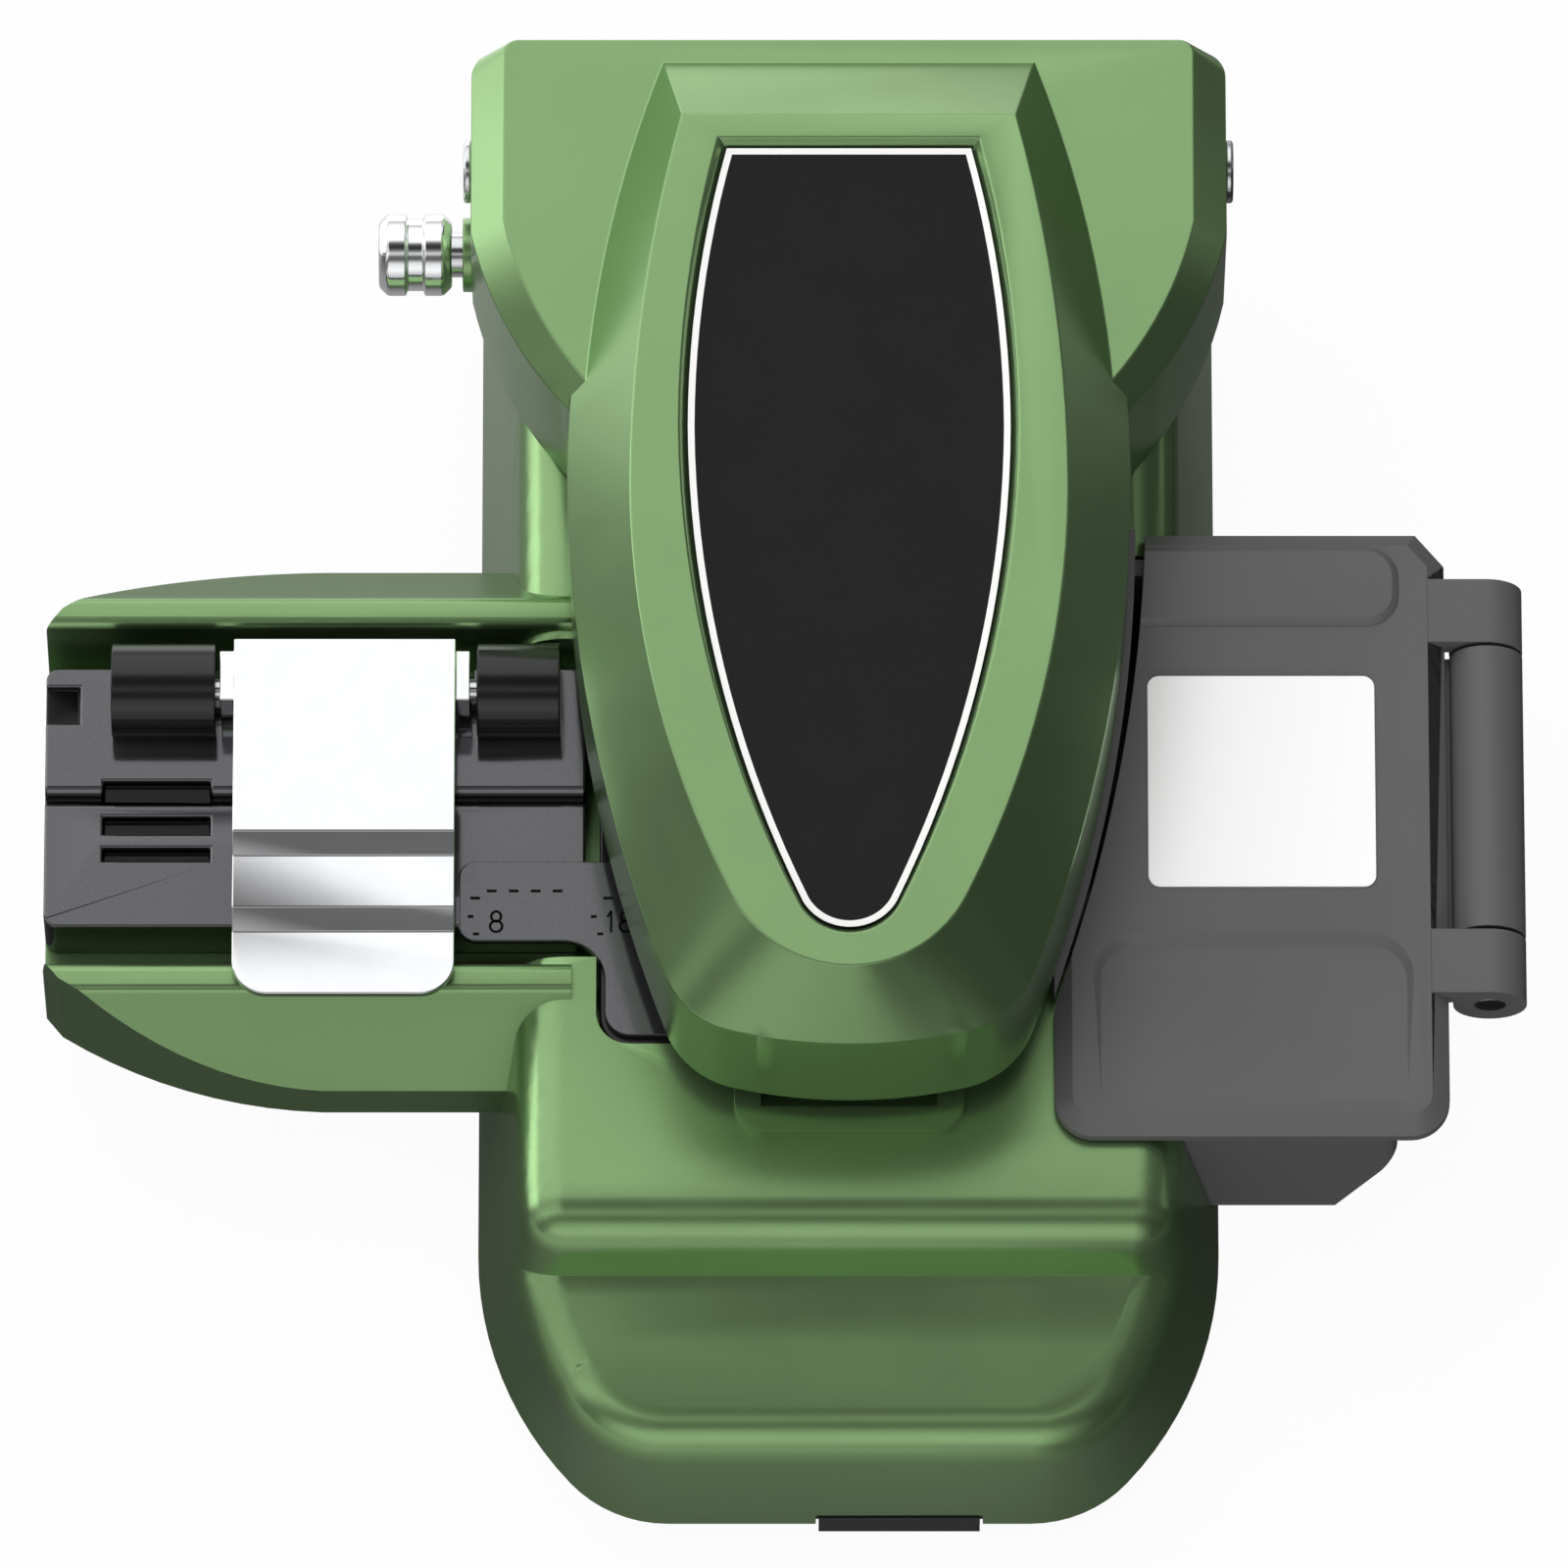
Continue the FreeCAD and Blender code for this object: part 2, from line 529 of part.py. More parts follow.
def level(edge, height, near=0.02):
    """True for an edge that lies in one level plane."""
    box = edge.BoundBox
    return abs(box.ZMin - size(height)) < near and abs(box.ZMax - size(height)) < near


def upright(edge):
    """True for a straight edge that stands along Z."""
    box = edge.BoundBox
    return box.XLength < 0.01 and box.YLength < 0.01 and box.ZLength > 0.05


# ---- Base casting -------------------------------------------------------------------------------

def base_outline(sketch, half, front, back):
    """Plan of a base level: straight back and sides, and front corners of two tangent radii."""
    across, along = f"(({half}) - front_flat)", "corner_run"
    bow = f"(({across}^2 + {along}^2 - 2*{along}*corner_radius)/(2*({across} - corner_radius)))"
    lean = f"(({bow} - {across})/({bow} - corner_radius))"
    drop = f"(({along} - corner_radius)/({bow} - corner_radius))"
    run = f"({front} + {along})"
    bow_x, bow_y = f"({half}) - {bow}*(1 - sqrt((1 + {lean})/2))", f"{run} - {bow}*sqrt((1 - {lean})/2)"
    join_x, join_y = f"({half}) - {bow}*(1 - {lean})", f"{run} - {bow}*{drop}"
    turn = f"(corner_radius/sqrt(2 + 2*{drop}))"
    turn_x, turn_y = f"front_flat + {turn}*{lean}", f"{front} + corner_radius - {turn}*(1 + {drop})"
    side = [
        ("front_flat", front), (turn_x, turn_y, "via"),
        (join_x, join_y), (bow_x, bow_y, "via"),
        (half, run),
        (half, f"{back} - back_radius"),
        (f"({half}) - 0.293*back_radius", f"{back} - 0.293*back_radius", "via"),
        (f"({half}) - back_radius", back),
    ]
    other = [(f"-({point[0]})",) + point[1:] for point in reversed(side)]
    outline(sketch, *side, *other)


def make_base_housing():
    """Die-cast base: tapered block, front ledge, left platform, wells, hinge cheeks and catch rim."""
    body = new_body("base_housing")
    foot_z = "mat_thick + plate_thick"
    foot = new_sketch(body, "XY_Plane", foot_z)
    base_outline(foot, "base_half", "base_front", "base_back")
    deck = new_sketch(body, "XY_Plane", "deck_z")
    base_outline(deck, "(base_half - base_taper)", "(base_front + base_taper/2)", "base_back")
    loft(body, [foot, deck])
    # Front ledge, a step below the deck that falls a little towards the front.
    ledge = new_sketch(body, "YZ_Plane", "-base_half")
    outline(
        ledge,
        ("base_front - 5*past", "ledge_z - ledge_drop"), ("base_front + ledge_depth", "ledge_z"),
        ("base_front + ledge_depth + step_lean", "deck_z + past"), ("base_front - 5*past", "deck_z + past"),
    )
    pocket(body, ledge, "2*base_half", reverse=True)
    fillet(body, "deck_round", deck_rim)
    add_platform(body)
    cut_base_wells(body)
    add_hinge_cheeks(body)
    add_catch_rim(body)
    return body


def deck_rim(middle, edge):
    """True for the outer edges of deck and ledge, and the top edge of the step."""
    box = edge.BoundBox
    foot_of_step = box.YLength < 0.2 and abs(middle.y - size("base_front + ledge_depth")) < 0.1
    return box.ZMin > size("ledge_z - ledge_drop") - 0.8 and not foot_of_step


def add_platform(body):
    """The platform to the left: two ridges with sloping outer sides and a channel between them."""
    profile = new_sketch(body, "YZ_Plane", "platform_left")
    outline(
        profile,
        ("platform_front", "platform_low"), ("platform_back", "platform_low"),
        ("platform_back", "platform_edge_z"),
        ("channel_back + ridge_width + ridge_lean", "ridge_z"), ("channel_back + ridge_lean", "ridge_z"),
        ("channel_back", "channel_z"), ("channel_front", "channel_z"),
        ("channel_front - ridge_lean", "ridge_z"), ("channel_front - ridge_width - ridge_lean", "ridge_z"),
        ("platform_front", "platform_edge_z"),
    )
    pad(body, profile, "-platform_left - base_half + base_taper + deck_round")
    fillet(body, "ridge_round", ridge_edge)
    for wall, beyond, sign in (("platform_front", "-", 1), ("platform_back", "+", -1)):
        trim = new_sketch(body, "XY_Plane", "platform_low - past")
        pull = "platform_pull" if sign > 0 else "-platform_pull"
        outline(
            trim,
            ("platform_straight", wall),
            ("(platform_straight + platform_left)/2", f"{wall} + ({pull})*0.27", "via"),
            ("platform_left + 1.5", f"{wall} + ({pull})*0.92"),
            ("platform_left", f"{wall} + ({pull})*1.15"),
            ("platform_left - past", f"{wall} + ({pull})*1.15"),
            ("platform_left - past", f"{wall} {beyond} 1"), ("platform_straight", f"{wall} {beyond} 1"),
        )
        pocket(body, trim, "ridge_z", reverse=True)


def ridge_edge(middle, edge):
    """True for the four long edges of the two ridges."""
    inside = middle.x < size("-base_half - past")
    return inside and level(edge, "ridge_z") and edge.BoundBox.YLength < 0.01


def cut_base_wells(body):
    """Room in the base for holder, block, blade carriage, waste box, rollers and screws."""
    channel = new_sketch(body, "XY_Plane", "channel_z")
    rectangle(channel, "-base_half - past", "channel_front", "block_left", "channel_back")
    pocket(body, channel, "ridge_z", reverse=True)
    seat = new_sketch(body, "XY_Plane", "channel_z")
    rounded(seat, "block_left - fit_gap", "block_front - fit_gap", "block_right + fit_gap",
            "block_back + fit_gap", "block_corner")
    pocket(body, seat, "deck_z", reverse=True)
    well = new_sketch(body, "XY_Plane", "well_z")
    rectangle(well, "-well_half", "well_front", "well_half", "well_back")
    pocket(body, well, "deck_z", reverse=True)
    bay = new_sketch(body, "XY_Plane", "box_low - box_gap")
    rectangle(bay, "box_left + box_inset - box_gap", "box_front + box_inset - box_gap", "base_half + past",
              "box_back - box_inset + box_gap")
    pocket(body, bay, "deck_z", reverse=True)
    gap = new_sketch(body, "XY_Plane", "lower_roller_z - roller_radius - roller_room")
    gap_half = "roller_half + fit_gap + roller_arm_wall + roller_room"
    rectangle(gap, "roller_x - roller_radius - roller_room", f"fibre_y - ({gap_half})",
              "roller_x + roller_radius + roller_room", f"fibre_y + {gap_half}")
    pocket(body, gap, "deck_z", reverse=True)
    shafts = new_sketch(body, "XZ_Plane", "-(fibre_y + roller_half + roller_shaft_end)")
    circle(shafts, "roller_x", "lower_roller_z", "roller_shaft + slip")
    pocket(body, shafts, "2*(roller_half + roller_shaft_end)", reverse=True)
    notch = new_sketch(body, "XY_Plane", "mat_thick + plate_thick - past")
    rectangle(notch, "notch_x - notch_half", "base_front - past", "notch_x + notch_half",
              "base_front + notch_depth")
    pocket(body, notch, "1 + notch_height", reverse=True)
    holes = new_sketch(body, "XY_Plane", "mat_thick + plate_thick - past")
    for x in ("foot_screw_x", "-foot_screw_x"):
        for y in ("foot_screw_y", "-foot_screw_y"):
            circle(holes, x, y, "screw_shaft")
    pocket(body, holes, "1 + screw_length", reverse=True)


def add_hinge_cheeks(body):
    """Two cheeks that carry the arm's hinge pin, the left one with the stop pin's arc slot."""
    for inner, outer in (("cheek_in", "cheek_out"), ("-cheek_out", "-cheek_in")):
        cheek = new_sketch(body, "YZ_Plane", inner)
        foot = "deck_z - deck_round"
        outline(
            cheek,
            ("hinge_y - cheek_reach", foot), ("base_back", foot),
            ("hinge_y + cheek_radius", "hinge_z"),
            ("hinge_y + cheek_radius*sqrt(0.5)", "hinge_z + cheek_radius*sqrt(0.5)", "via"),
            ("hinge_y", "hinge_z + cheek_radius"), ("hinge_y - cheek_reach", "cheek_web_z"),
        )
        pad(body, cheek, "cheek_out - cheek_in")
    bore = new_sketch(body, "YZ_Plane", "-cheek_out - past")
    circle(bore, "hinge_y", "hinge_z", "bush_radius")
    pocket(body, bore, "2*cheek_out + 2*past", reverse=True)
    slot = new_sketch(body, "YZ_Plane", "-cheek_out")
    arc_slot(slot)
    pocket(body, slot, "stop_slot_depth", reverse=True)


def arc_slot(sketch):
    """Slot round the hinge axis, as wide as the stop pin and as long as the arm's travel."""
    run = "sqrt((hinge_y - stop_y)^2 + (hinge_z - stop_z)^2)"
    half = "(stop_radius + stop_slack)"
    first = "(180 deg + atan((hinge_z - stop_z)/(hinge_y - stop_y)))"
    last = f"({first} - arm_open*1 deg)"

    def at(radius, angle):
        """Point at a radius and angle from the hinge axis."""
        return (f"hinge_y + ({radius})*cos({angle})", f"hinge_z + ({radius})*sin({angle})")

    def beyond(angle, sign):
        """Point at the round end of the slot."""
        x, y = at(run, angle)
        other = "-" if sign == "+" else "+"
        return (f"{x} {sign} {half}*sin({angle})", f"{y} {other} {half}*cos({angle})", "via")

    middle = f"(({first} + {last})/2)"
    outline(
        sketch,
        at(f"{run} + {half}", first), at(f"{run} + {half}", middle) + ("via",),
        at(f"{run} + {half}", last), beyond(last, "+"),
        at(f"{run} - {half}", last), at(f"{run} - {half}", middle) + ("via",),
        at(f"{run} - {half}", first), beyond(first, "-"),
    )


def add_catch_rim(body):
    """Raised rim under the arm's nose, open to the back, with the magnet's pocket inside."""
    rim = new_sketch(body, "XY_Plane", "deck_z - sunk")
    rounded(rim, "-catch_half", "catch_front", "catch_half", "catch_back", "catch_corner")
    pad(body, rim, "0.5 + catch_rise")
    inside = new_sketch(body, "XY_Plane", "deck_z + catch_floor")
    rectangle(inside, "catch_rim - catch_half", "catch_front + catch_rim", "catch_half - catch_rim",
              "catch_back + past")
    pocket(body, inside, "catch_rise", reverse=True)
    magnet = new_sketch(body, "XY_Plane", "deck_z + catch_floor - magnet_depth")
    rectangle(magnet, "-magnet_half_x", "keeper_y - magnet_half_y", "magnet_half_x",
              "keeper_y + magnet_half_y")
    pocket(body, magnet, "magnet_depth + catch_rise", reverse=True)


def plate(label, z, thick, draw):
    """A flat plate: one outline on a level plane, padded upwards."""
    body = new_body(label)
    sketch = new_sketch(body, "XY_Plane", z)
    draw(sketch)
    pad(body, sketch, thick)
    return body


def bar(label, plane, start, length, *corners):
    """A bar of one cross-section along X (YZ plane) or along -Y (XZ plane)."""
    body = new_body(label)
    sketch = new_sketch(body, plane, start)
    outline(sketch, *corners)
    pad(body, sketch, length)
    return body


def rod(label, y, z, spans):
    """A turned rod along X: spans of (left, right, radius), from left to right."""
    body = new_body(label)
    for left, right, radius in spans:
        sketch = new_sketch(body, "YZ_Plane", left)
        circle(sketch, y, z, radius)
        pad(body, sketch, f"{right} - ({left})")
    return body


def make_base_plate():
    """Plate under the casting with a tab that fills the notch in the front foot."""
    body = plate("base_plate", "mat_thick", "plate_thick",
                 lambda sketch: base_outline(sketch, "(base_half - plate_inset)",
                                             "(base_front + plate_inset)", "base_back - plate_inset"))
    tab = new_sketch(body, "XY_Plane", "mat_thick")
    rectangle(tab, "notch_x - notch_half + fit_gap", "base_front", "notch_x + notch_half - fit_gap",
              "base_front + plate_inset + past")
    pad(body, tab, "plate_thick")
    lip = new_sketch(body, "XY_Plane", "mat_thick + plate_thick - 0.5")
    rectangle(lip, "notch_x - notch_half + fit_gap", "base_front", "notch_x + notch_half - fit_gap",
              "base_front + notch_depth - fit_gap")
    pad(body, lip, "0.5 + notch_height - fit_gap")
    holes = new_sketch(body, "XY_Plane", "mat_thick")
    heads = new_sketch(body, "XY_Plane", "mat_thick")
    for x in ("foot_screw_x", "-foot_screw_x"):
        for y in ("foot_screw_y", "-foot_screw_y"):
            circle(holes, x, y, "screw_shaft + slip")
            circle(heads, x, y, "screw_head + fit_gap")
    pocket(body, holes, "plate_thick", reverse=True)
    pocket(body, heads, "screw_head_depth", reverse=True)


def screw_solid(x, y, head_z, shaft_end):
    """Machine screw along Z with its head at head_z and a hexagon socket in it."""
    radius, head, depth = size("screw_shaft"), size("screw_head"), size("screw_head_depth")
    up = FreeCAD.Vector(0, 0, 1 if shaft_end > head_z else -1)
    at = FreeCAD.Vector(x, y, head_z)
    solid = Part.makeCylinder(head, depth, at, up)
    solid = solid.makeChamfer(depth/5, [solid.Edges[0], solid.Edges[2]])
    shaft = Part.makeCylinder(radius, abs(shaft_end - head_z) - depth, at + up*depth, up)
    corners = [FreeCAD.Vector(math.cos(math.radians(60*k)), math.sin(math.radians(60*k)), 0)*(head/2)
               for k in range(7)]
    socket = Part.Face(Part.makePolygon([at + corner for corner in corners])).extrude(up*(depth*0.6))
    return solid.fuse(shaft).cut(socket)


def screws(label, spots, head_z, shaft_end):
    """Several like screws in one node."""
    group = doc.addObject("Part::Feature", label)
    group.Label = label
    group.Shape = Part.makeCompound([screw_solid(x, y, head_z, shaft_end) for x, y in spots])
    pieces.append(group)


def make_base_pieces():
    """Base plate, rubber mat, screws, bushes and the catch magnet."""
    make_base_plate()
    plate("foot_mat", "0", "mat_thick",
          lambda sketch: rounded(sketch, "-mat_half_x", "-mat_half_y", "mat_half_x", "mat_half_y",
                                 "mat_corner"))
    x, y = size("foot_screw_x"), size("foot_screw_y")
    screws("base_screws", [(x, y), (-x, y), (x, -y), (-x, -y)], size("mat_thick"),
           size("mat_thick + screw_length"))
    plate("catch_magnet", "deck_z + catch_floor - magnet_depth", "magnet_depth",
          lambda sketch: rectangle(sketch, "-magnet_half_x", "keeper_y - magnet_half_y",
                                   "magnet_half_x", "keeper_y + magnet_half_y"))
    for label, start in (("hinge_bush_left", "-cheek_out"), ("hinge_bush_right", "cheek_in")):
        body = new_body(label)
        ring = new_sketch(body, "YZ_Plane", start)
        circle(ring, "hinge_y", "hinge_z", "bush_radius")
        circle(ring, "hinge_y", "hinge_z", "hinge_pin + slip")
        pad(body, ring, "cheek_out - cheek_in")


# ---- Fibre holder, clip and length scale --------------------------------------------------------

def make_fibre_holder():
    """Anodised plate in the channel with the V groove, relief slots and the clip's hinge posts."""
    half = "holder_half"
    body = plate("fibre_holder", "channel_z", "holder_z - channel_z",
                 lambda sketch: rounded(sketch, "platform_left", f"fibre_y - {half}", "holder_right",
                                        f"fibre_y + {half}", "holder_corner"))
    groove = new_sketch(body, "YZ_Plane", "platform_left - past")
    outline(
        groove,
        ("fibre_y", "holder_z - groove_half"), ("fibre_y + groove_half + sunk", "holder_z + sunk"),
        ("fibre_y - groove_half - sunk", "holder_z + sunk"),
    )
    pocket(body, groove, "holder_right - platform_left + 2*past", reverse=True)
    slots = new_sketch(body, "XY_Plane", "holder_z - slot_depth")
    for middle, share in (("slot_back", 0.5), ("slot_middle", 0.4), ("slot_front", 0.3)):
        rectangle(slots, "slot_left", f"{middle} - slot_width*{share}", "slot_right",
                  f"{middle} + slot_width*{share}")
    pocket(body, slots, "slot_depth + past", reverse=True)
    step = new_sketch(body, "XY_Plane", "holder_z - slot_depth/2")
    rectangle(step, "platform_left - past", "knuckle_y - knuckle_radius/2", "slot_left - slot_width",
              "knuckle_y + knuckle_radius/3")
    pocket(body, step, "slot_depth", reverse=True)
    relief = new_sketch(body, "XY_Plane", "holder_z - heel_relief")
    rectangle(relief, "clip_left - clip_ear - fit_gap", "knuckle_y + clip_ear_reach",
              "clip_right + clip_ear + fit_gap",
              f"fibre_y + {half} + past")
    pocket(body, relief, "heel_relief + past", reverse=True)


def make_clip():
    """Spring-steel clip: a flat with two bends and a tongue, ears at its pin, and a rubber pad."""
    for label, left, right in (("clip_knuckle_left", "knuckle_out_left", "knuckle_in_left"),
                               ("clip_knuckle_right", "knuckle_in_right", "knuckle_out_right")):
        body = new_body(label)
        barrel = new_sketch(body, "YZ_Plane", left)
        seat = "sqrt(knuckle_radius^2 - (knuckle_z - holder_z)^2)"
        outline(barrel, (f"knuckle_y - {seat}", "holder_z"), (f"knuckle_y + {seat}", "holder_z"),
                ("knuckle_y", "knuckle_z + knuckle_radius", "via"))
        pad(body, barrel, f"{right} - {left}")
        bore = new_sketch(body, "YZ_Plane", left)
        circle(bore, "knuckle_y", "knuckle_z", "clip_pin")
        pocket(body, bore, f"{right} - {left}", reverse=True)
    rod("clip_pin", "knuckle_y", "knuckle_z",
        [("knuckle_out_left + past", "knuckle_out_right - past", "clip_pin")])
    body = new_body("clip_plate")
    top, run = "clip_z", "clip_bend_run"
    steps = [
        ("knuckle_y + clip_heel", top), ("clip_bend_one", top),
        (f"clip_bend_one - {run}", f"{top} - clip_step"), ("clip_bend_two", f"{top} - clip_step"),
        (f"clip_bend_two - {run}", f"{top} - 2*clip_step"), ("clip_tip", f"{top} - 2*clip_step"),
    ]
    back = [(y, f"{z} + clip_sheet") for y, z in reversed(steps)]
    profile = new_sketch(body, "YZ_Plane", "clip_left")
    outline(profile, *steps, *back)
    pad(body, profile, "clip_right - clip_left")
    fillet(body, "clip_corner", lambda middle, edge: upright(edge) and middle.y < size("clip_tip + past"))
    for left in ("clip_left - clip_ear", "clip_right"):
        ear = new_sketch(body, "YZ_Plane", left)
        reach = "clip_ear_reach"
        outline(
            ear,
            (f"knuckle_y + {reach}", "clip_z + clip_sheet/2"),
            (f"knuckle_y - {reach}", "clip_z + clip_sheet/2"),
            (f"knuckle_y - {reach}", "knuckle_z"), ("knuckle_y", f"knuckle_z - {reach}", "via"),
            (f"knuckle_y + {reach}", "knuckle_z"),
        )
        pad(body, ear, "clip_ear")
    bore = new_sketch(body, "YZ_Plane", "clip_left - clip_ear - past")
    circle(bore, "knuckle_y", "knuckle_z", "clip_pin + slip")
    pocket(body, bore, "clip_right - clip_left + 2*clip_ear + 2*past", reverse=True)
    plate("clip_pad", "holder_z + fit_gap", "clip_z - holder_z - fit_gap",
          lambda sketch: rounded(sketch, "(clip_left + clip_right)/2 - pad_half_x", "fibre_y - pad_half_y",
                                 "(clip_left + clip_right)/2 + pad_half_x", "fibre_y + pad_half_y", "1"))


def make_scale():
    """L-shaped plate with the cleave length scale, which bridges holder and cleaving block."""
    body = new_body("length_scale")
    plan = new_sketch(body, "XY_Plane", "holder_z")
    bend, tight = "(1 - sqrt(0.5))", "scale_corner"
    outline(
        plan,
        (f"scale_left + {tight}", "scale_front"), ("scale_neck - scale_sweep", "scale_front"),
        (f"scale_neck - scale_sweep*{bend}", f"scale_front - scale_sweep*{bend}", "via"),
        ("scale_neck", "scale_front - scale_sweep"), ("scale_neck", "scale_tail + scale_round"),
        (f"scale_neck + scale_round*{bend}", f"scale_tail + scale_round*{bend}", "via"),
        ("scale_neck + scale_round", "scale_tail"), ("scale_right", "scale_tail"),
        ("scale_right", "scale_back"),
        (f"scale_left + {tight}", "scale_back"),
        (f"scale_left + {tight}*{bend}", f"scale_back - {tight}*{bend}", "via"),
        ("scale_left", f"scale_back - {tight}"), ("scale_left", f"scale_front + {tight}"),
        (f"scale_left + {tight}*{bend}", f"scale_front + {tight}*{bend}", "via"),
    )
    pad(body, plan, "scale_thick")


# ---- Cleaving block, blade and slide ------------------------------------------------------------

def make_cleaving_block():
    """Black block over the blade, with the blade's slot and the seats of the two lower clamp pads."""
    body = plate("cleaving_block", "channel_z", "holder_z - channel_z",
                 lambda sketch: rounded(sketch, "block_left", "block_front", "block_right", "block_back",
                                        "block_corner"))
    room = new_sketch(body, "XY_Plane", "channel_z")
    rectangle(room, "-well_half", "blade_start - blade_travel - carriage_half_y - 2*past",
              "well_half", "blade_start + carriage_half_y + past")
    pocket(body, room, "carriage_top + fit_gap - channel_z", reverse=True)
    slot = new_sketch(body, "XY_Plane", "channel_z")
    rectangle(slot, "-blade_slot_half", "blade_start - blade_travel - blade_radius - past",
              "blade_slot_half",
              "blade_start + blade_radius + past")
    pocket(body, slot, "holder_z - channel_z", reverse=True)
    for label, middle in (("lower_pad_left", "-anvil_pad_x"), ("lower_pad_right", "anvil_pad_x")):
        seat = new_sketch(body, "XY_Plane", "holder_z - pad_sink")
        rectangle(seat, f"{middle} - anvil_pad_half", "fibre_y - anvil_pad_y", f"{middle} + anvil_pad_half",
                  "fibre_y + anvil_pad_y")
        pocket(body, seat, "pad_sink + past", reverse=True)
        plate(label, "holder_z - pad_sink", "pad_sink + anvil_pad_rise",
              lambda sketch: rectangle(sketch, f"{middle} - anvil_pad_half", "fibre_y - anvil_pad_y",
                                       f"{middle} + anvil_pad_half", "fibre_y + anvil_pad_y"))


def make_slide():
    """Grooved rail in the well and the carriage that runs on it with the blade between its forks."""
    top = "well_z + rail_height"
    bar("slide_rail", "XZ_Plane", "-well_back + past", "well_back - well_front - 2*past",
        ("-rail_half", "well_z"), ("rail_half", "well_z"), ("rail_half", "well_z + rail_height*0.3"),
        ("rail_half - rail_neck", "well_z + rail_height*0.5"), ("rail_half", "well_z + rail_height*0.7"),
        ("rail_half", top), ("-rail_half", top), ("-rail_half", "well_z + rail_height*0.7"),
        ("rail_neck - rail_half", "well_z + rail_height*0.5"), ("-rail_half", "well_z + rail_height*0.3"))
    low, gap = "well_z + fit_gap", "fit_gap"
    body = bar("blade_carriage", "XZ_Plane", "-(blade_start + carriage_half_y)", "2*carriage_half_y",
               ("-carriage_half_x", low), (f"-rail_half - {gap}", low),
               (f"-rail_half - {gap}", f"{top} + {gap}"),
               (f"rail_half + {gap}", f"{top} + {gap}"), (f"rail_half + {gap}", low),
               ("carriage_half_x", low), ("carriage_half_x", "carriage_top"),
               ("-carriage_half_x", "carriage_top"))
    room = new_sketch(body, "XY_Plane", f"{top} + {gap} + carriage_floor")
    rectangle(room, "-hub_half - fit_gap", "blade_start - carriage_half_y - past", "hub_half + fit_gap",
              "blade_start + carriage_half_y + past")
    pocket(body, room, "deck_z", reverse=True)
    bore = new_sketch(body, "YZ_Plane", "-carriage_half_x - past")
    circle(bore, "blade_start", "fibre_z - blade_radius + blade_nip", "axle_radius")
    pocket(body, bore, "2*carriage_half_x + 2*past", reverse=True)
    rod("blade_axle", "blade_start", "fibre_z - blade_radius + blade_nip",
        [("-carriage_half_x", "carriage_half_x", "axle_radius")])


def spun(body, sketch, axis_z):
    """Revolve a profile of the XZ plane about a line along X at a height."""
    ends = [FreeCAD.Vector(0, size(axis_z), 0), FreeCAD.Vector(1, size(axis_z), 0)]
    line = sketch.addGeometry(Part.LineSegment(*ends), True)
    place(sketch, line, 1, "0", axis_z)
    place(sketch, line, 2, "1", axis_z)
    feature = body.newObject("PartDesign::Revolution", body.Label + "_revolution")
    feature.Profile = sketch
    feature.ReferenceAxis = (sketch, ["Axis0"])
    feature.Angle = 360
    doc.recompute()


def make_blade():
    """Round blade with a ground edge, clamped between a flanged hub and its nut."""
    axis_z = "fibre_z - blade_radius + blade_nip"
    half = "blade_thick/2"
    rings = {
        "round_blade": [
            (f"-{half}", f"{axis_z} + hub_neck"), (half, f"{axis_z} + hub_neck"),
            (half, f"{axis_z} + blade_radius - blade_edge"), ("0.05", f"{axis_z} + blade_radius"),
            ("-0.05", f"{axis_z} + blade_radius"), (f"-{half}", f"{axis_z} + blade_radius - blade_edge")],
        "blade_hub": [
            ("-hub_half", f"{axis_z} + axle_radius + slip"), ("hub_half", f"{axis_z} + axle_radius + slip"),
            ("hub_half", f"{axis_z} + hub_radius"), (half, f"{axis_z} + hub_radius"),
            (half, f"{axis_z} + hub_neck"), ("-hub_half", f"{axis_z} + hub_neck")],
        "blade_nut": [
            ("-hub_half", f"{axis_z} + hub_neck"), (f"-{half}", f"{axis_z} + hub_neck"),
            (f"-{half}", f"{axis_z} + hub_radius"), ("-hub_half", f"{axis_z} + hub_radius")],
    }
    for label, profile in rings.items():
        body = new_body(label)
        sketch = new_sketch(body, "XZ_Plane", "-blade_start")
        outline(sketch, *profile)
        spun(body, sketch, axis_z)


# ---- Arm ----------------------------------------------------------------------------------------

ARM_PLAN = ("arm_back_half", "arm_half", "arm_wide_y", "arm_shoulder_half", "arm_shoulder_y",
            "arm_nose_half", "arm_nose_y", "arm_tip", "arm_swell")
TOP_PLAN = ("top_back_half", "top_half", "arm_wide_y - top_shy", "top_shoulder_half", "top_shoulder_y",
            "top_nose_half", "top_nose_y", "top_tip", "top_swell")


def inner_plan(inset):
    """The arm's plan with its sides and nose moved in by a wall."""
    back_half, half, wide_y, shoulder_half, shoulder_y, nose_half, nose_y, tip, swell = ARM_PLAN
    return (f"{back_half} - ({inset})", f"{half} - ({inset})", wide_y, f"{shoulder_half} - ({inset})",
            f"{shoulder_y} + ({inset})/3", f"{nose_half} - ({inset})/2", f"{nose_y} + ({inset})",
            f"{tip} + ({inset})", swell)


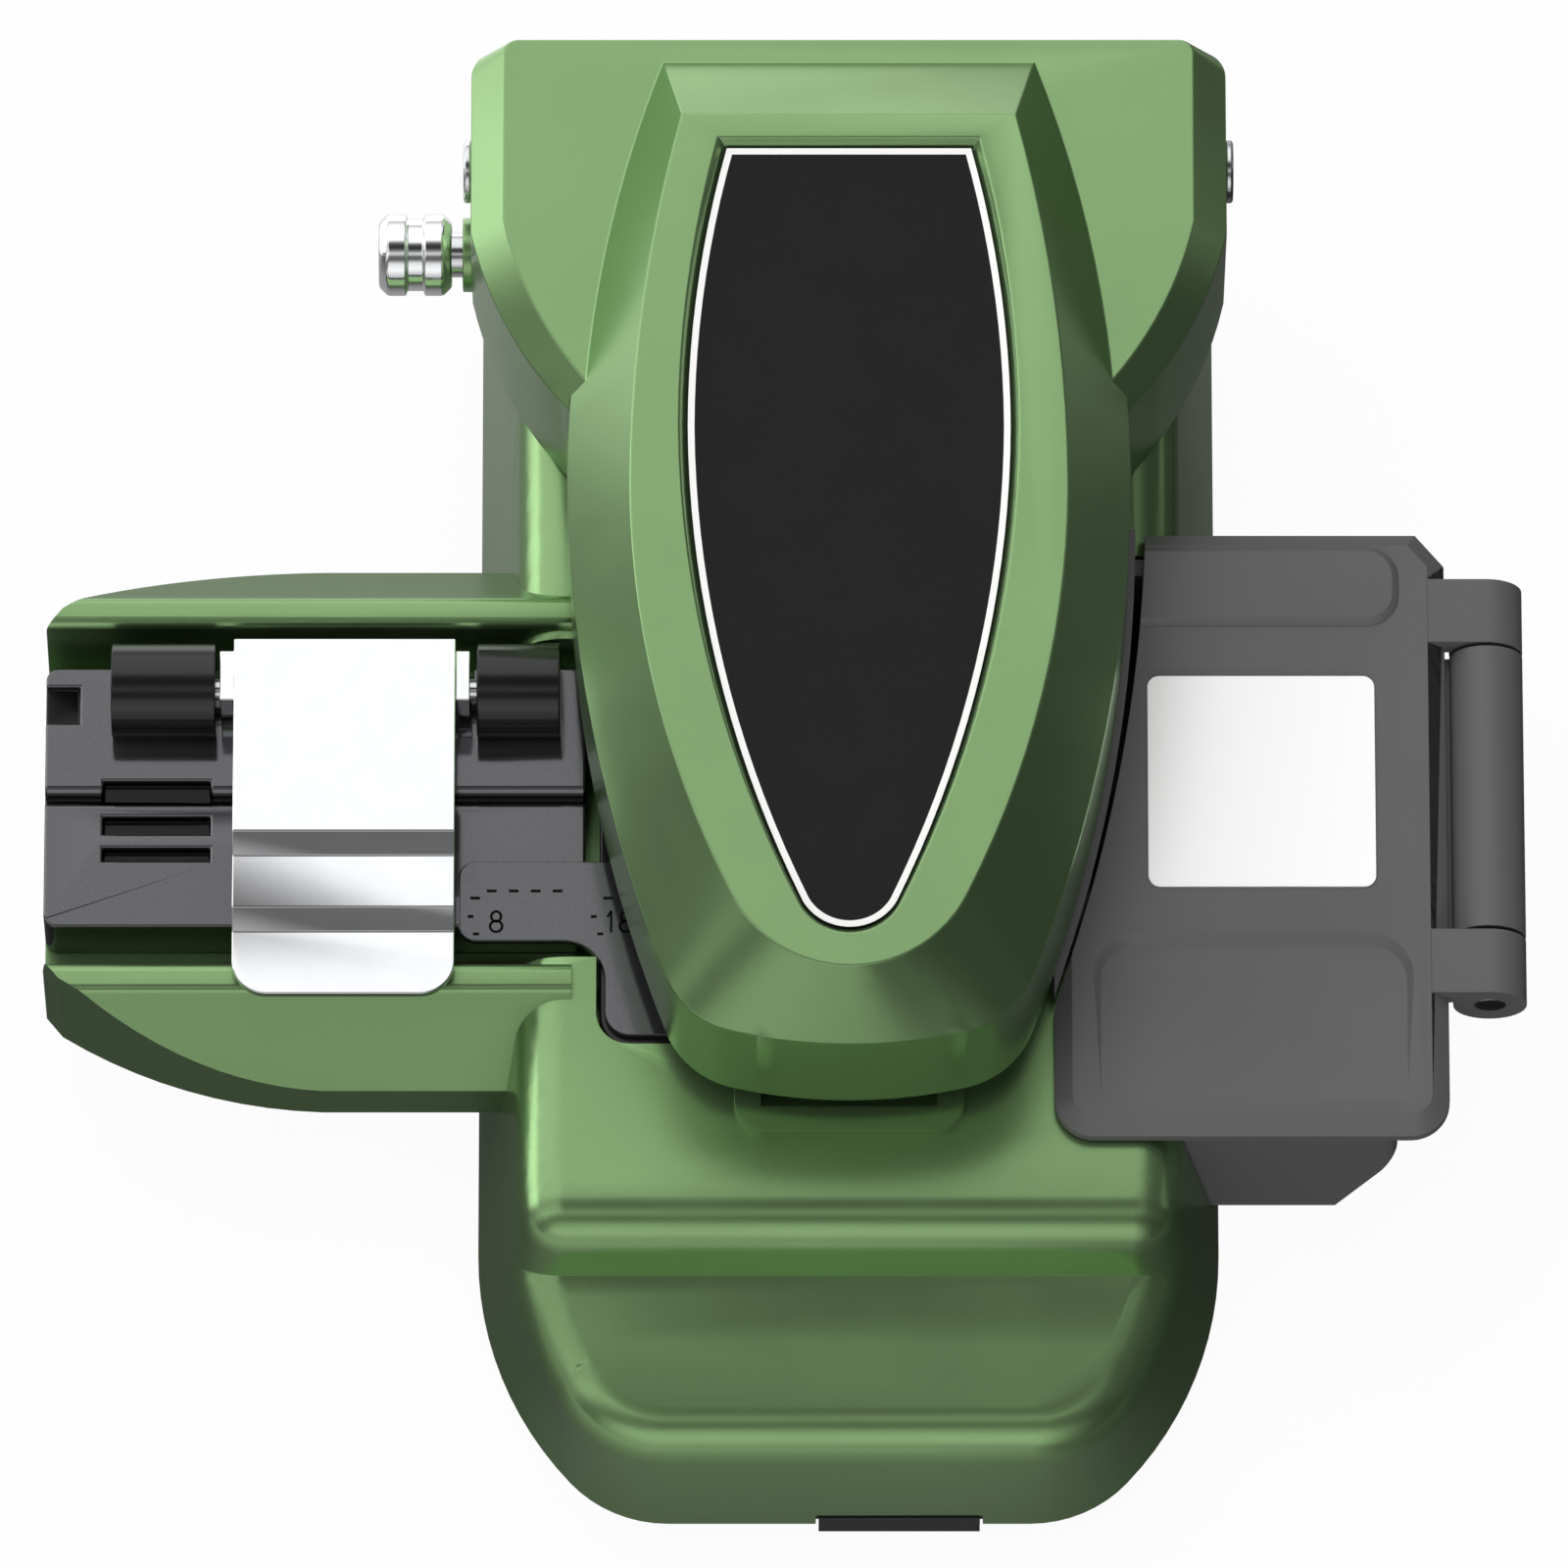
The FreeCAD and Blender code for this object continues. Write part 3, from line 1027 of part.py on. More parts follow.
def inset_plan(sketch, inset):
    """Pointed-shield plan of the recess and its panel, moved in by a margin."""
    half, back = f"(recess_half - {inset})", f"recess_back - {inset}"
    back_half, tip = f"(recess_back_half - {inset})", f"recess_tip + {inset}"
    nose, nose_y = f"(recess_nose - ({inset})/2)", f"recess_nose_y + ({inset})/3"
    side = [
        (back_half, back), (f"{half} - ({half} - {back_half})/4", f"({back} + recess_wide_y)/2", "via"),
        (half, "recess_wide_y"),
        (f"{half} - ({half} - {nose})/4", f"(recess_wide_y + {nose_y})/2", "via"), (nose, nose_y),
    ]
    other = [(f"-({point[0]})",) + point[1:] for point in side]
    outline(sketch, *other, ("0", tip, "via"), *reversed(side))


def make_arm_shell():
    """Die-cast arm: walls, bevel and flat top lofted as one, a hood over the hinge, hollow below."""
    body = new_body("arm_shell")
    levels = []
    for height, back, plan in (("arm_low", "arm_back", ARM_PLAN), ("arm_break_z", "arm_back", ARM_PLAN),
                               ("arm_top_z", "top_back", TOP_PLAN)):
        level_sketch = new_sketch(body, "XY_Plane", height)
        shuttle(level_sketch, back, *plan)
        levels.append(level_sketch)
    loft(body, levels)
    hood = []
    for height, inset in (("hood_low", "0"), ("hood_z - hood_bevel", "0"), ("hood_z", "hood_bevel")):
        hood.append(new_sketch(body, "XY_Plane", height))
        hood_plan(hood[-1], inset)
    loft(body, hood)
    hollow_arm(body)
    recess_arm(body)
    return body


def hood_plan(sketch, inset):
    """Shield plan of the hood over the hinge, its sides moved in by a bevel."""
    half, join = f"(hood_half - {inset})", f"(hood_join_half - {inset})"
    corner = f"(hood_round - {inset}/3)"
    side = [
        ("hood_join_half - hood_lap", "hood_join_y"), (join, "hood_join_y"),
        (f"{join} + ({half} - {join})*0.62", "(hood_join_y + hood_side_y)/2 - 1.2", "via"),
        (half, "hood_side_y"), (half, f"arm_back - {corner}"),
        (f"{half} - {corner}*(1 - sqrt(0.5))", f"arm_back - {corner}*(1 - sqrt(0.5))", "via"),
        (f"{half} - {corner}", "arm_back"),
    ]
    other = [(f"-({point[0]})",) + point[1:] for point in reversed(side)]
    outline(sketch, *side, *other)


def hollow_arm(body):
    """Room inside the arm: the body's hollow, the hinge's room and the pin's holes."""
    low = new_sketch(body, "XY_Plane", "hood_low - past")
    shuttle(low, "hood_front_in", *inner_plan("arm_wall"))
    pocket(body, low, "arm_roof_z - hood_low + past", reverse=True)
    room = new_sketch(body, "XY_Plane", "hood_low - past")
    rectangle(room, "hood_wall - hood_half", "hood_front_in - sunk", "hood_half - hood_wall",
              "arm_back - hood_back_wall")
    pocket(body, room, "hood_roof_z - hood_low + past", reverse=True)
    gate = new_sketch(body, "XY_Plane", "hood_low - past")
    rectangle(gate, "hood_wall - hood_half", "arm_back - hood_back_wall - past", "hood_half - hood_wall",
              "arm_back + past")
    pocket(body, gate, "hood_back_low - hood_low + past", reverse=True)
    bore = new_sketch(body, "YZ_Plane", "-hood_half - past")
    circle(bore, "hinge_y", "hinge_z", "hinge_pin")
    pocket(body, bore, "2*hood_half + 2*past", reverse=True)
    boss = new_sketch(body, "YZ_Plane", "-hood_half - boss_rise")
    circle(boss, "stop_y", "stop_z", "boss_radius")
    pad(body, boss, "boss_rise + hood_wall")
    guide = new_sketch(body, "YZ_Plane", "-hood_half - boss_rise - past")
    circle(guide, "stop_y", "stop_z", "stop_radius + slip")
    pocket(body, guide, "boss_rise + hood_wall + 2*past", reverse=True)


def recess_arm(body):
    """Recess in the flat top with leaning walls; its floor takes the inset panel."""
    rim = new_sketch(body, "XY_Plane", "arm_top_z")
    inset_plan(rim, "0")
    floor = new_sketch(body, "XY_Plane", "arm_top_z - recess_depth")
    inset_plan(floor, "recess_lean")
    cut = body.newObject("PartDesign::SubtractiveLoft", "arm_shell_recess")
    cut.Profile = rim
    cut.Sections = [floor]
    cut.Ruled = True
    doc.recompute()


def make_arm_pieces():
    """What the arm carries: inset panel, inner plate, upper pads, anvil, keeper and hinge pin."""
    plate("inset_panel", "arm_top_z - recess_depth", "inset_thick",
          lambda sketch: inset_plan(sketch, "recess_lean"))
    body = new_body("arm_inner_plate")
    plan = new_sketch(body, "XY_Plane", "under_plate_z")
    shuttle(plan, "under_plate_back", *inner_plan("arm_wall + fit_gap"))
    pad(body, plan, "under_plate_thick")
    window = new_sketch(body, "XY_Plane", "under_plate_z")
    rectangle(window, "roller_x - roller_radius - roller_room", "fibre_y - roller_half - roller_room",
              "roller_x + roller_radius + roller_room", "fibre_y + roller_half + roller_room")
    pocket(body, window, "under_plate_thick", reverse=True)
    pad_low = "holder_z + anvil_pad_rise + upper_pad_gap"
    for label, middle in (("upper_pad_left", "-anvil_pad_x"), ("upper_pad_right", "anvil_pad_x")):
        plate(label, pad_low, f"under_plate_z - ({pad_low})",
              lambda sketch: rectangle(sketch, f"{middle} - anvil_pad_half", "fibre_y - anvil_pad_y",
                                       f"{middle} + anvil_pad_half", "fibre_y + anvil_pad_y"))
    plate("anvil", "fibre_z + anvil_gap", "under_plate_z - fibre_z - anvil_gap",
          lambda sketch: rectangle(sketch, "-anvil_half", "fibre_y - anvil_pad_y", "anvil_half",
                                   "fibre_y + anvil_pad_y"))
    plate("catch_keeper", "deck_z + catch_rise + fit_gap", "under_plate_z - deck_z - catch_rise - fit_gap",
          lambda sketch: rectangle(sketch, "-keeper_half_x", "keeper_y - magnet_half_y", "keeper_half_x",
                                   "keeper_y + magnet_half_y"))
    rod("arm_hinge_pin", "hinge_y", "hinge_z",
        [("-hood_half - hinge_head_thick", "-hood_half", "hinge_head"),
         ("-hood_half", "hood_half", "hinge_pin"),
         ("hood_half", "hood_half + hinge_head_thick", "hinge_head")])


def make_stop_pin():
    """Stop pin that runs in the left cheek's arc slot, with its turned and grooved knob."""
    rod("stop_pin", "stop_y", "stop_z",
        [("knob_left + 1.5", "stop_reach - cheek_out", "stop_radius")])
    body = new_body("stop_knob")
    profile = new_sketch(body, "XY_Plane", "stop_z")
    radius, groove = "knob_radius", "knob_groove"
    middle = "((knob_left + knob_right)/2)"
    outline(
        profile,
        ("knob_left", "stop_y"), ("knob_left", f"stop_y + {radius} - knob_chamfer"),
        ("knob_left + knob_chamfer", f"stop_y + {radius}"),
        (f"{middle} - knob_groove_half", f"stop_y + {radius}"),
        (f"{middle} - knob_groove_half", f"stop_y + {radius} - {groove}"),
        (f"{middle} + knob_groove_half", f"stop_y + {radius} - {groove}"),
        (f"{middle} + knob_groove_half", f"stop_y + {radius}"),
        ("knob_right - knob_chamfer", f"stop_y + {radius}"),
        ("knob_right", f"stop_y + {radius} - knob_chamfer"), ("knob_right", "stop_y + stop_radius"),
        ("knob_left + 1.5", "stop_y + stop_radius"), ("knob_left + 1.5", "stop_y"),
    )
    spin_line = profile.addGeometry(Part.LineSegment(FreeCAD.Vector(0, size("stop_y"), 0),
                                                     FreeCAD.Vector(1, size("stop_y"), 0)), True)
    place(profile, spin_line, 1, "0", "stop_y")
    place(profile, spin_line, 2, "1", "stop_y")
    feature = body.newObject("PartDesign::Revolution", "stop_knob_revolution")
    feature.Profile = profile
    feature.ReferenceAxis = (profile, ["Axis0"])
    feature.Angle = 360
    doc.recompute()


# ---- Waste box, its lid and the rollers ---------------------------------------------------------

def seam_points(shift, flare="0"):
    """Curve beside the arm's wall: start, middle and end, moved out by a clearance that may grow."""
    swell = "(arm_half - arm_shoulder_half)/4"
    return [
        (f"arm_shoulder_half + {shift}", "arm_shoulder_y"),
        (f"arm_half - {swell} + {shift} + ({flare})/4", "(arm_wide_y + arm_shoulder_y)/2", "via"),
        (f"arm_half + {shift} + {flare}", "arm_wide_y"),
    ]


def make_waste_box():
    """Open box with a chamfered outer edge, a fixed shoulder under the arm and its hinge barrel."""
    body = new_body("waste_box")
    profile = new_sketch(body, "XZ_Plane", "-(box_back - box_inset)")
    left, right = "box_left + box_inset", "box_right - box_side_inset"
    outline(profile, (left, "box_low"), (f"{right} - box_chamfer", "box_low"),
            (right, "box_low + box_slope"),
            (right, "box_rim_z"), (left, "box_rim_z"))
    pad(body, profile, "box_back - box_front - 2*box_inset")
    fillet(body, "box_wall", lambda middle, edge: upright(edge) and middle.x > size(f"{right} - past"))
    hollow = new_sketch(body, "XZ_Plane", "-(box_back - box_inset - box_wall)")
    outline(hollow, (f"{left} + box_wall", "box_low + box_wall"),
            (f"{right} - box_chamfer - box_wall*0.4", "box_low + box_wall"),
            (f"{right} - box_wall", "box_low + box_slope + box_wall*0.4"),
            (f"{right} - box_wall", "box_rim_z + past"), (f"{left} + box_wall", "box_rim_z + past"))
    pocket(body, hollow, "box_back - box_front - 2*box_inset - 2*box_wall", reverse=True)
    start, middle, end = seam_points("lid_clear - lid_seam")
    root = new_sketch(body, "XY_Plane", "box_rim_z - box_wall")
    outline(root, start, middle, end, ("box_left - 3*past", "arm_wide_y"),
            ("box_left - 3*past", "arm_shoulder_y"))
    pad(body, root, "box_wall + lid_seam")
    trim_outside(body, left, "box_back - box_inset")
    shoulder = new_sketch(body, "XY_Plane", "box_rim_z + lid_seam")
    outline(shoulder, start, middle, end, ("arm_half + lid_clear - lid_seam", "box_back"),
            ("box_left - 3*past", "box_back"), ("box_left - 3*past", "arm_shoulder_y"))
    pad(body, shoulder, "lid_thick")
    trim_outside(body, "box_left", "box_back")
    window = new_sketch(body, "YZ_Plane", "box_left - past")
    rectangle(window, "fibre_y - window_half", "fibre_z - window_drop", "fibre_y + window_half",
              "fibre_z + window_rise")
    pocket(body, window, "arm_half + lid_clear - box_left + past", reverse=True)
    web = new_sketch(body, "XY_Plane", "lid_hinge_z - barrel_radius")
    rectangle(web, f"{right} - box_wall", "barrel_front + barrel_end + barrel_gap", "lid_hinge_x",
              "barrel_back - barrel_end - barrel_gap")
    pad(body, web, "barrel_radius")
    barrel = new_sketch(body, "XZ_Plane", "-(barrel_back - barrel_end - barrel_gap)")
    circle(barrel, "lid_hinge_x", "lid_hinge_z", "barrel_radius")
    pad(body, barrel, "barrel_back - barrel_front - 2*barrel_end - 2*barrel_gap")
    bore = new_sketch(body, "XZ_Plane", "-barrel_back")
    circle(bore, "lid_hinge_x", "lid_hinge_z", "lid_pin")
    pocket(body, bore, "barrel_back - barrel_front", reverse=True)


def trim_outside(body, left, back):
    """Cut what stands out of the box's left and back faces."""
    trim = new_sketch(body, "XY_Plane", "box_low")
    outline(trim, ("box_left - 4*past", "box_front - past"), (left, "box_front - past"), (left, back),
            ("box_right + past", back),
            ("box_right + past", "box_back + 2*past"), ("box_left - 4*past", "box_back + 2*past"))
    pocket(body, trim, "deck_z", reverse=True)


def lid_plan(sketch):
    """Plan of the lid: three round corners, and a clipped one at the back beside the hinge."""
    cut = "box_corner*(1 - sqrt(0.5))"
    outline(
        sketch,
        ("box_left + box_corner", "box_front"), ("box_right - box_corner", "box_front"),
        (f"box_right - {cut}", f"box_front + {cut}", "via"), ("box_right", "box_front + box_corner"),
        ("box_right", "box_back - lid_clip_y"), ("box_right - lid_clip_x", "box_back"),
        ("box_left + box_corner", "box_back"), (f"box_left + {cut}", f"box_back - {cut}", "via"),
        ("box_left", "box_back - box_corner"),
        ("box_left", "box_front + box_corner"), (f"box_left + {cut}", f"box_front + {cut}", "via"),
    )


def cut_scoop(body, top):
    """Thumb scoop: a floor that falls away from the lid's top towards the back, with leaning walls."""
    floor = new_sketch(body, "XY_Plane", top)
    tilt = FreeCAD.Rotation(FreeCAD.Vector(1, 0, 0), -1)
    floor.AttachmentOffset = FreeCAD.Placement(FreeCAD.Vector(), tilt)
    run = "(scoop_back - scoop_front)"
    floor.setExpression("AttachmentOffset.Base.y", linked("scoop_front"))
    floor.setExpression("AttachmentOffset.Base.z", linked(top))
    floor.setExpression("AttachmentOffset.Rotation.Angle", linked(f"-atan(scoop_depth/{run})"))
    rounded(floor, "scoop_left", "-box_corner", "scoop_right", run, "box_corner")
    pocket(body, floor, "scoop_depth + past", reverse=True, TaperAngle="scoop_lean")


def make_waste_lid():
    """Lid with a bevelled rim, raised back panel, thumb scoop and two hinge barrels."""
    body = new_body("waste_lid")
    low, top = "box_rim_z + lid_seam", "box_rim_z + lid_seam + lid_thick"
    plan = new_sketch(body, "XY_Plane", low)
    lid_plan(plan)
    pad(body, plan, "lid_thick")
    chamfer(body, "lid_bevel", lambda middle, edge: level(edge, top))
    raised = new_sketch(body, "XY_Plane", f"{top} - raise_bevel")
    rounded(raised, "raise_left", "raise_front", "raise_right", "box_back - lid_bevel - fit_gap",
            "raise_corner")
    pad(body, raised, "raise_bevel + raise_rise")
    chamfer(body, "raise_bevel", lambda middle, edge: level(edge, f"{top} + raise_rise"))
    cut_scoop(body, top)
    side = new_sketch(body, "XY_Plane", low)
    start, middle, end = seam_points("lid_clear", "lid_flare")
    outline(
        side,
        start, middle, end,
        ("arm_half + lid_clear + lid_flare", "box_back + past"), ("box_left - 3*past", "box_back + past"),
        ("box_left - 3*past", "arm_shoulder_y"),
    )
    pocket(body, side, "lid_thick + raise_rise + past", reverse=True)
    for front, length in (("barrel_front", "barrel_end"), ("barrel_back - barrel_end", "barrel_end")):
        knuckle = new_sketch(body, "XZ_Plane", f"-({front} + {length})")
        crown = "lid_hinge_z + barrel_radius"
        outline(
            knuckle,
            ("box_right - lid_bevel - 0.4", low), ("lid_hinge_x - barrel_radius + 0.1", low),
            ("lid_hinge_x - barrel_radius", "lid_hinge_z"),
            ("lid_hinge_x", "lid_hinge_z - barrel_radius", "via"),
            ("lid_hinge_x + barrel_radius", "lid_hinge_z"),
            ("lid_hinge_x + barrel_radius*sqrt(0.5)", "lid_hinge_z + barrel_radius*sqrt(0.5)", "via"),
            ("lid_hinge_x", crown), ("box_right - lid_bevel - 0.4", crown),
        )
        pad(body, knuckle, length)
    bore = new_sketch(body, "XZ_Plane", "-barrel_back - past")
    circle(bore, "lid_hinge_x", "lid_hinge_z", "lid_pin + slip")
    pocket(body, bore, "barrel_back - barrel_front + 2*past", reverse=True)
    plate("label_plate", top, "label_thick",
          lambda sketch: rounded(sketch, "label_left", "label_front", "label_right", "label_back",
                                 "label_corner"))
    body = new_body("lid_hinge_pin")
    pin = new_sketch(body, "XZ_Plane", "-barrel_back")
    circle(pin, "lid_hinge_x", "lid_hinge_z", "lid_pin")
    pad(body, pin, "barrel_back - barrel_front")


def make_rollers():
    """Two rubber rollers on shafts along Y: the lower in the base, the upper in brackets on the arm."""
    upper_z = "lower_roller_z + 2*roller_radius + roller_gap"
    lower_end, upper_end = "roller_shaft_end - 0.2", "fit_gap + roller_arm_wall"
    for name, height, end in (("lower", "lower_roller_z", lower_end), ("upper", upper_z, upper_end)):
        body = new_body(f"{name}_roller")
        ring = new_sketch(body, "XZ_Plane", "-(fibre_y + roller_half)")
        circle(ring, "roller_x", height, "roller_radius")
        circle(ring, "roller_x", height, "roller_shaft")
        pad(body, ring, "2*roller_half")
        body = new_body(f"{name}_roller_shaft")
        shaft = new_sketch(body, "XZ_Plane", f"-(fibre_y + roller_half + {end})")
        circle(shaft, "roller_x", height, "roller_shaft")
        pad(body, shaft, f"2*(roller_half + {end})")
    for label, start in (("roller_bracket_front", "fibre_y - roller_half - fit_gap - roller_arm_wall"),
                         ("roller_bracket_back", "fibre_y + roller_half + fit_gap")):
        body = new_body(label)
        cheek = new_sketch(body, "XZ_Plane", f"-({start} + roller_arm_wall)")
        reach = "roller_radius - 0.2"
        outline(
            cheek,
            (f"roller_x - ({reach})", "under_plate_z"), (f"roller_x - ({reach})", upper_z),
            ("roller_x", f"{upper_z} - ({reach})", "via"), (f"roller_x + {reach}", upper_z),
            (f"roller_x + {reach}", "under_plate_z"),
        )
        pad(body, cheek, "roller_arm_wall")
        bore = new_sketch(body, "XZ_Plane", f"-({start} + roller_arm_wall + past)")
        circle(bore, "roller_x", upper_z, "roller_shaft + slip")
        pocket(body, bore, "roller_arm_wall + 2*past", reverse=True)


def write_parts():
    """Check every object and sub-part, then write one STEP file for each sub-part."""
    doc.recompute()
    broken = [item.Name for item in doc.Objects if "Invalid" in item.State or "Error" in item.State]
    broken += [item.Label for item in pieces if item.Shape.isNull() or not item.Shape.isValid()]
    if broken:
        raise RuntimeError(f"failed objects: {broken}")
    os.makedirs("parts", exist_ok=True)
    for item in pieces:
        item.Shape.exportStep(f"parts/{item.Label}.step")
    print(f"{len(pieces)} sub-parts written")


make_base_housing()
make_base_pieces()
make_fibre_holder()
make_clip()
make_scale()
make_cleaving_block()
make_slide()
make_blade()
make_arm_shell()
make_arm_pieces()
make_stop_pin()
make_waste_box()
make_waste_lid()
make_rollers()
write_parts()
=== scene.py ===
import json
import logging
import math
from dataclasses import dataclass
from enum import Enum

import bmesh
import bpy
from mathutils import Matrix, Vector


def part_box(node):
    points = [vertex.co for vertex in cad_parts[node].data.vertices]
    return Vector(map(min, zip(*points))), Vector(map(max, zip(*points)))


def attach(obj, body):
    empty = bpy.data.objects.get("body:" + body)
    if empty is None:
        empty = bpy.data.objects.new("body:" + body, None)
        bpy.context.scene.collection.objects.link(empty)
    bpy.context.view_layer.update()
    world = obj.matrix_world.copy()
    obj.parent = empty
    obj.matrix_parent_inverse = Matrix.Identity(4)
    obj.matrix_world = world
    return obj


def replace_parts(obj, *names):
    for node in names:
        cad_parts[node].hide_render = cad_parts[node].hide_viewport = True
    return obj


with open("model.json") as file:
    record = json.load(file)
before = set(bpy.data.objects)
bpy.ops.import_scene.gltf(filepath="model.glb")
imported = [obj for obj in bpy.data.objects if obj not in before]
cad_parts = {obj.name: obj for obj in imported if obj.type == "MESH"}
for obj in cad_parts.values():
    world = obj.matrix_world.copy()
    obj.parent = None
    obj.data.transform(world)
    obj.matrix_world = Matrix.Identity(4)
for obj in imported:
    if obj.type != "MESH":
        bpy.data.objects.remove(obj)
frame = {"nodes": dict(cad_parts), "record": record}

log = logging.getLogger("fibre_cleaver")
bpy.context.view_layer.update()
MM = 0.001
JOIN_MM = 0.002  # corners nearer than this are one
NOISE_ENDS = (0.3, 0.7)  # noise seldom leaves this range
Point = tuple[float, float]
Triple = tuple[float, float, float]
Colour = tuple[float, float, float, float]


def linear(code: str) -> Colour:
    """Turn an sRGB hex code into a linear colour.

    Args:
        code: six hex digits.

    Returns:
        Red, green, blue and an alpha of one.
    """
    channels = [int(code[start:start + 2], 16) / 255 for start in (0, 2, 4)]
    return tuple(c / 12.92 if c <= 0.04045 else ((c + 0.055) / 1.055) ** 2.4 for c in channels) + (1.0,)


def shaded(colour: Colour, factor: float) -> Colour:
    """A colour made lighter or darker by a factor."""
    return tuple(min(1.0, c * factor) for c in colour[:3]) + (1.0,)


def add_node(
    tree: bpy.types.NodeTree, kind: str, inputs: dict[str | int, object] | None = None, **settings: object
) -> bpy.types.Node:
    """Add a node with its settings, and fill its inputs.

    Args:
        tree: the shader or geometry tree.
        kind: the node's type name.
        inputs: input name or number, with a constant or the output socket that feeds it.
        settings: properties of the node.

    Returns:
        The node.
    """
    node = tree.nodes.new(kind)
    for name, value in settings.items():
        setattr(node, name, value)
    for key, value in (inputs or {}).items():
        if isinstance(value, bpy.types.NodeSocket):
            tree.links.new(value, node.inputs[key])
        else:
            node.inputs[key].default_value = value
    return node


def new_material(name: str) -> tuple[bpy.types.Material, bpy.types.Node]:
    """Make an empty material.

    Args:
        name: the material's name.

    Returns:
        The material and its output node.
    """
    material = bpy.data.materials.new(name)
    material.use_nodes = True
    material.node_tree.nodes.clear()
    return material, add_node(material.node_tree, "ShaderNodeOutputMaterial")


def noise(
    tree: bpy.types.NodeTree, size_mm: float, detail: float = 3.0, stretch: Triple = (1, 1, 1)
) -> bpy.types.NodeSocket:
    """Noise in object space whose features have a real size.

    Args:
        tree: the shader tree.
        size_mm: width of one feature in millimetres.
        detail: octaves of finer noise.
        stretch: scale of the pattern along X, Y and Z.

    Returns:
        The noise's factor output.
    """
    place = add_node(tree, "ShaderNodeTexCoord")
    turn = add_node(tree, "ShaderNodeMapping", {"Vector": place.outputs["Object"], "Scale": stretch})
    wanted = {"Vector": turn.outputs["Vector"], "Scale": 1 / (size_mm * MM), "Detail": detail}
    return add_node(tree, "ShaderNodeTexNoise", wanted).outputs["Fac"]


def ramp(
    tree: bpy.types.NodeTree, source: bpy.types.NodeSocket, stops: list[tuple[float, Colour]]
) -> bpy.types.NodeSocket:
    """Map a value to colours.

    Args:
        tree: the shader tree.
        source: the value from 0 to 1.
        stops: position and colour of each stop.

    Returns:
        The colour output.
    """
    node = add_node(tree, "ShaderNodeValToRGB", {"Fac": source})
    band = node.color_ramp
    band.elements[0].position, band.elements[0].color = stops[0]
    band.elements[1].position, band.elements[1].color = stops[-1]
    for position, colour in stops[1:-1]:
        band.elements.new(position).color = colour
    return node.outputs["Color"]


def mottled(
    tree: bpy.types.NodeTree, pattern: bpy.types.NodeSocket, base: Colour, ends: Point, shares: Point
) -> bpy.types.NodeSocket:
    """Let a pattern make a colour darker and lighter.

    Args:
        tree: the shader tree.
        pattern: the pattern's value.
        base: the colour.
        ends: values of the pattern at which the colour is darkest and lightest.
        shares: how dark and how light it gets there.

    Returns:
        The colour.
    """
    return ramp(tree, pattern, [(end, shaded(base, share)) for end, share in zip(ends, shares)])


def grey_ramp(
    tree: bpy.types.NodeTree, source: bpy.types.NodeSocket, levels: tuple[Point, ...]
) -> bpy.types.NodeSocket:
    """Map a value to levels of brightness.

    Args:
        tree: the shader tree.
        source: the value from 0 to 1.
        levels: position and brightness of each stop.

    Returns:
        The level as a grey.
    """
    return ramp(tree, source, [(position, (level, level, level, 1)) for position, level in levels])


def spread_over(
    tree: bpy.types.NodeTree, value: bpy.types.NodeSocket,
    taken: Point = (0.0, 1.0), given: Point = (0.0, 1.0),
) -> bpy.types.NodeSocket:
    """Carry a value over from one range to another, and hold it there.

    Args:
        tree: the shader tree.
        value: the value.
        taken: ends of the range it comes in.
        given: ends of the range it leaves in.

    Returns:
        The new value.
    """
    ends = {"From Min": taken[0], "From Max": taken[1], "To Min": given[0], "To Max": given[1]}
    return add_node(tree, "ShaderNodeMapRange", {"Value": value, **ends}).outputs["Result"]


def product(
    tree: bpy.types.NodeTree, one: bpy.types.NodeSocket, other: bpy.types.NodeSocket | float
) -> bpy.types.NodeSocket:
    """Multiply a value by another."""
    return add_node(tree, "ShaderNodeMath", {0: one, 1: other}, operation="MULTIPLY").outputs["Value"]


def relief(
    tree: bpy.types.NodeTree, height: bpy.types.NodeSocket, strength: float, depth_mm: float
) -> bpy.types.NodeSocket:
    """Turn a pattern into fine relief.

    Args:
        tree: the shader tree.
        height: the pattern.
        strength: share of the relief that shows.
        depth_mm: depth of the whole relief in millimetres.

    Returns:
        The normal.
    """
    return add_node(
        tree, "ShaderNodeBump", {"Strength": strength, "Distance": depth_mm * MM, "Height": height}
    ).outputs["Normal"]


def wiped(
    tree: bpy.types.NodeTree, size_mm: float, roughness: float, spread: Point
) -> bpy.types.NodeSocket:
    """Roughness that wanders, as on a surface that has been handled and wiped.

    Args:
        tree: the shader tree.
        size_mm: width of one wipe mark in millimetres.
        roughness: the surface's own roughness.
        spread: how far the roughness falls below that and rises above it.

    Returns:
        The roughness.
    """
    ends = (roughness - spread[0], roughness + spread[1])
    return spread_over(tree, noise(tree, size_mm), given=ends)


def cover(tree: bpy.types.NodeTree, output: bpy.types.Node, inputs: dict[str, object]) -> None:
    """Give a material its shader.

    Args:
        tree: the material's tree.
        output: its output node.
        inputs: the shader's inputs.
    """
    shader = add_node(tree, "ShaderNodeBsdfPrincipled", inputs)
    tree.links.new(shader.outputs["BSDF"], output.inputs["Surface"])


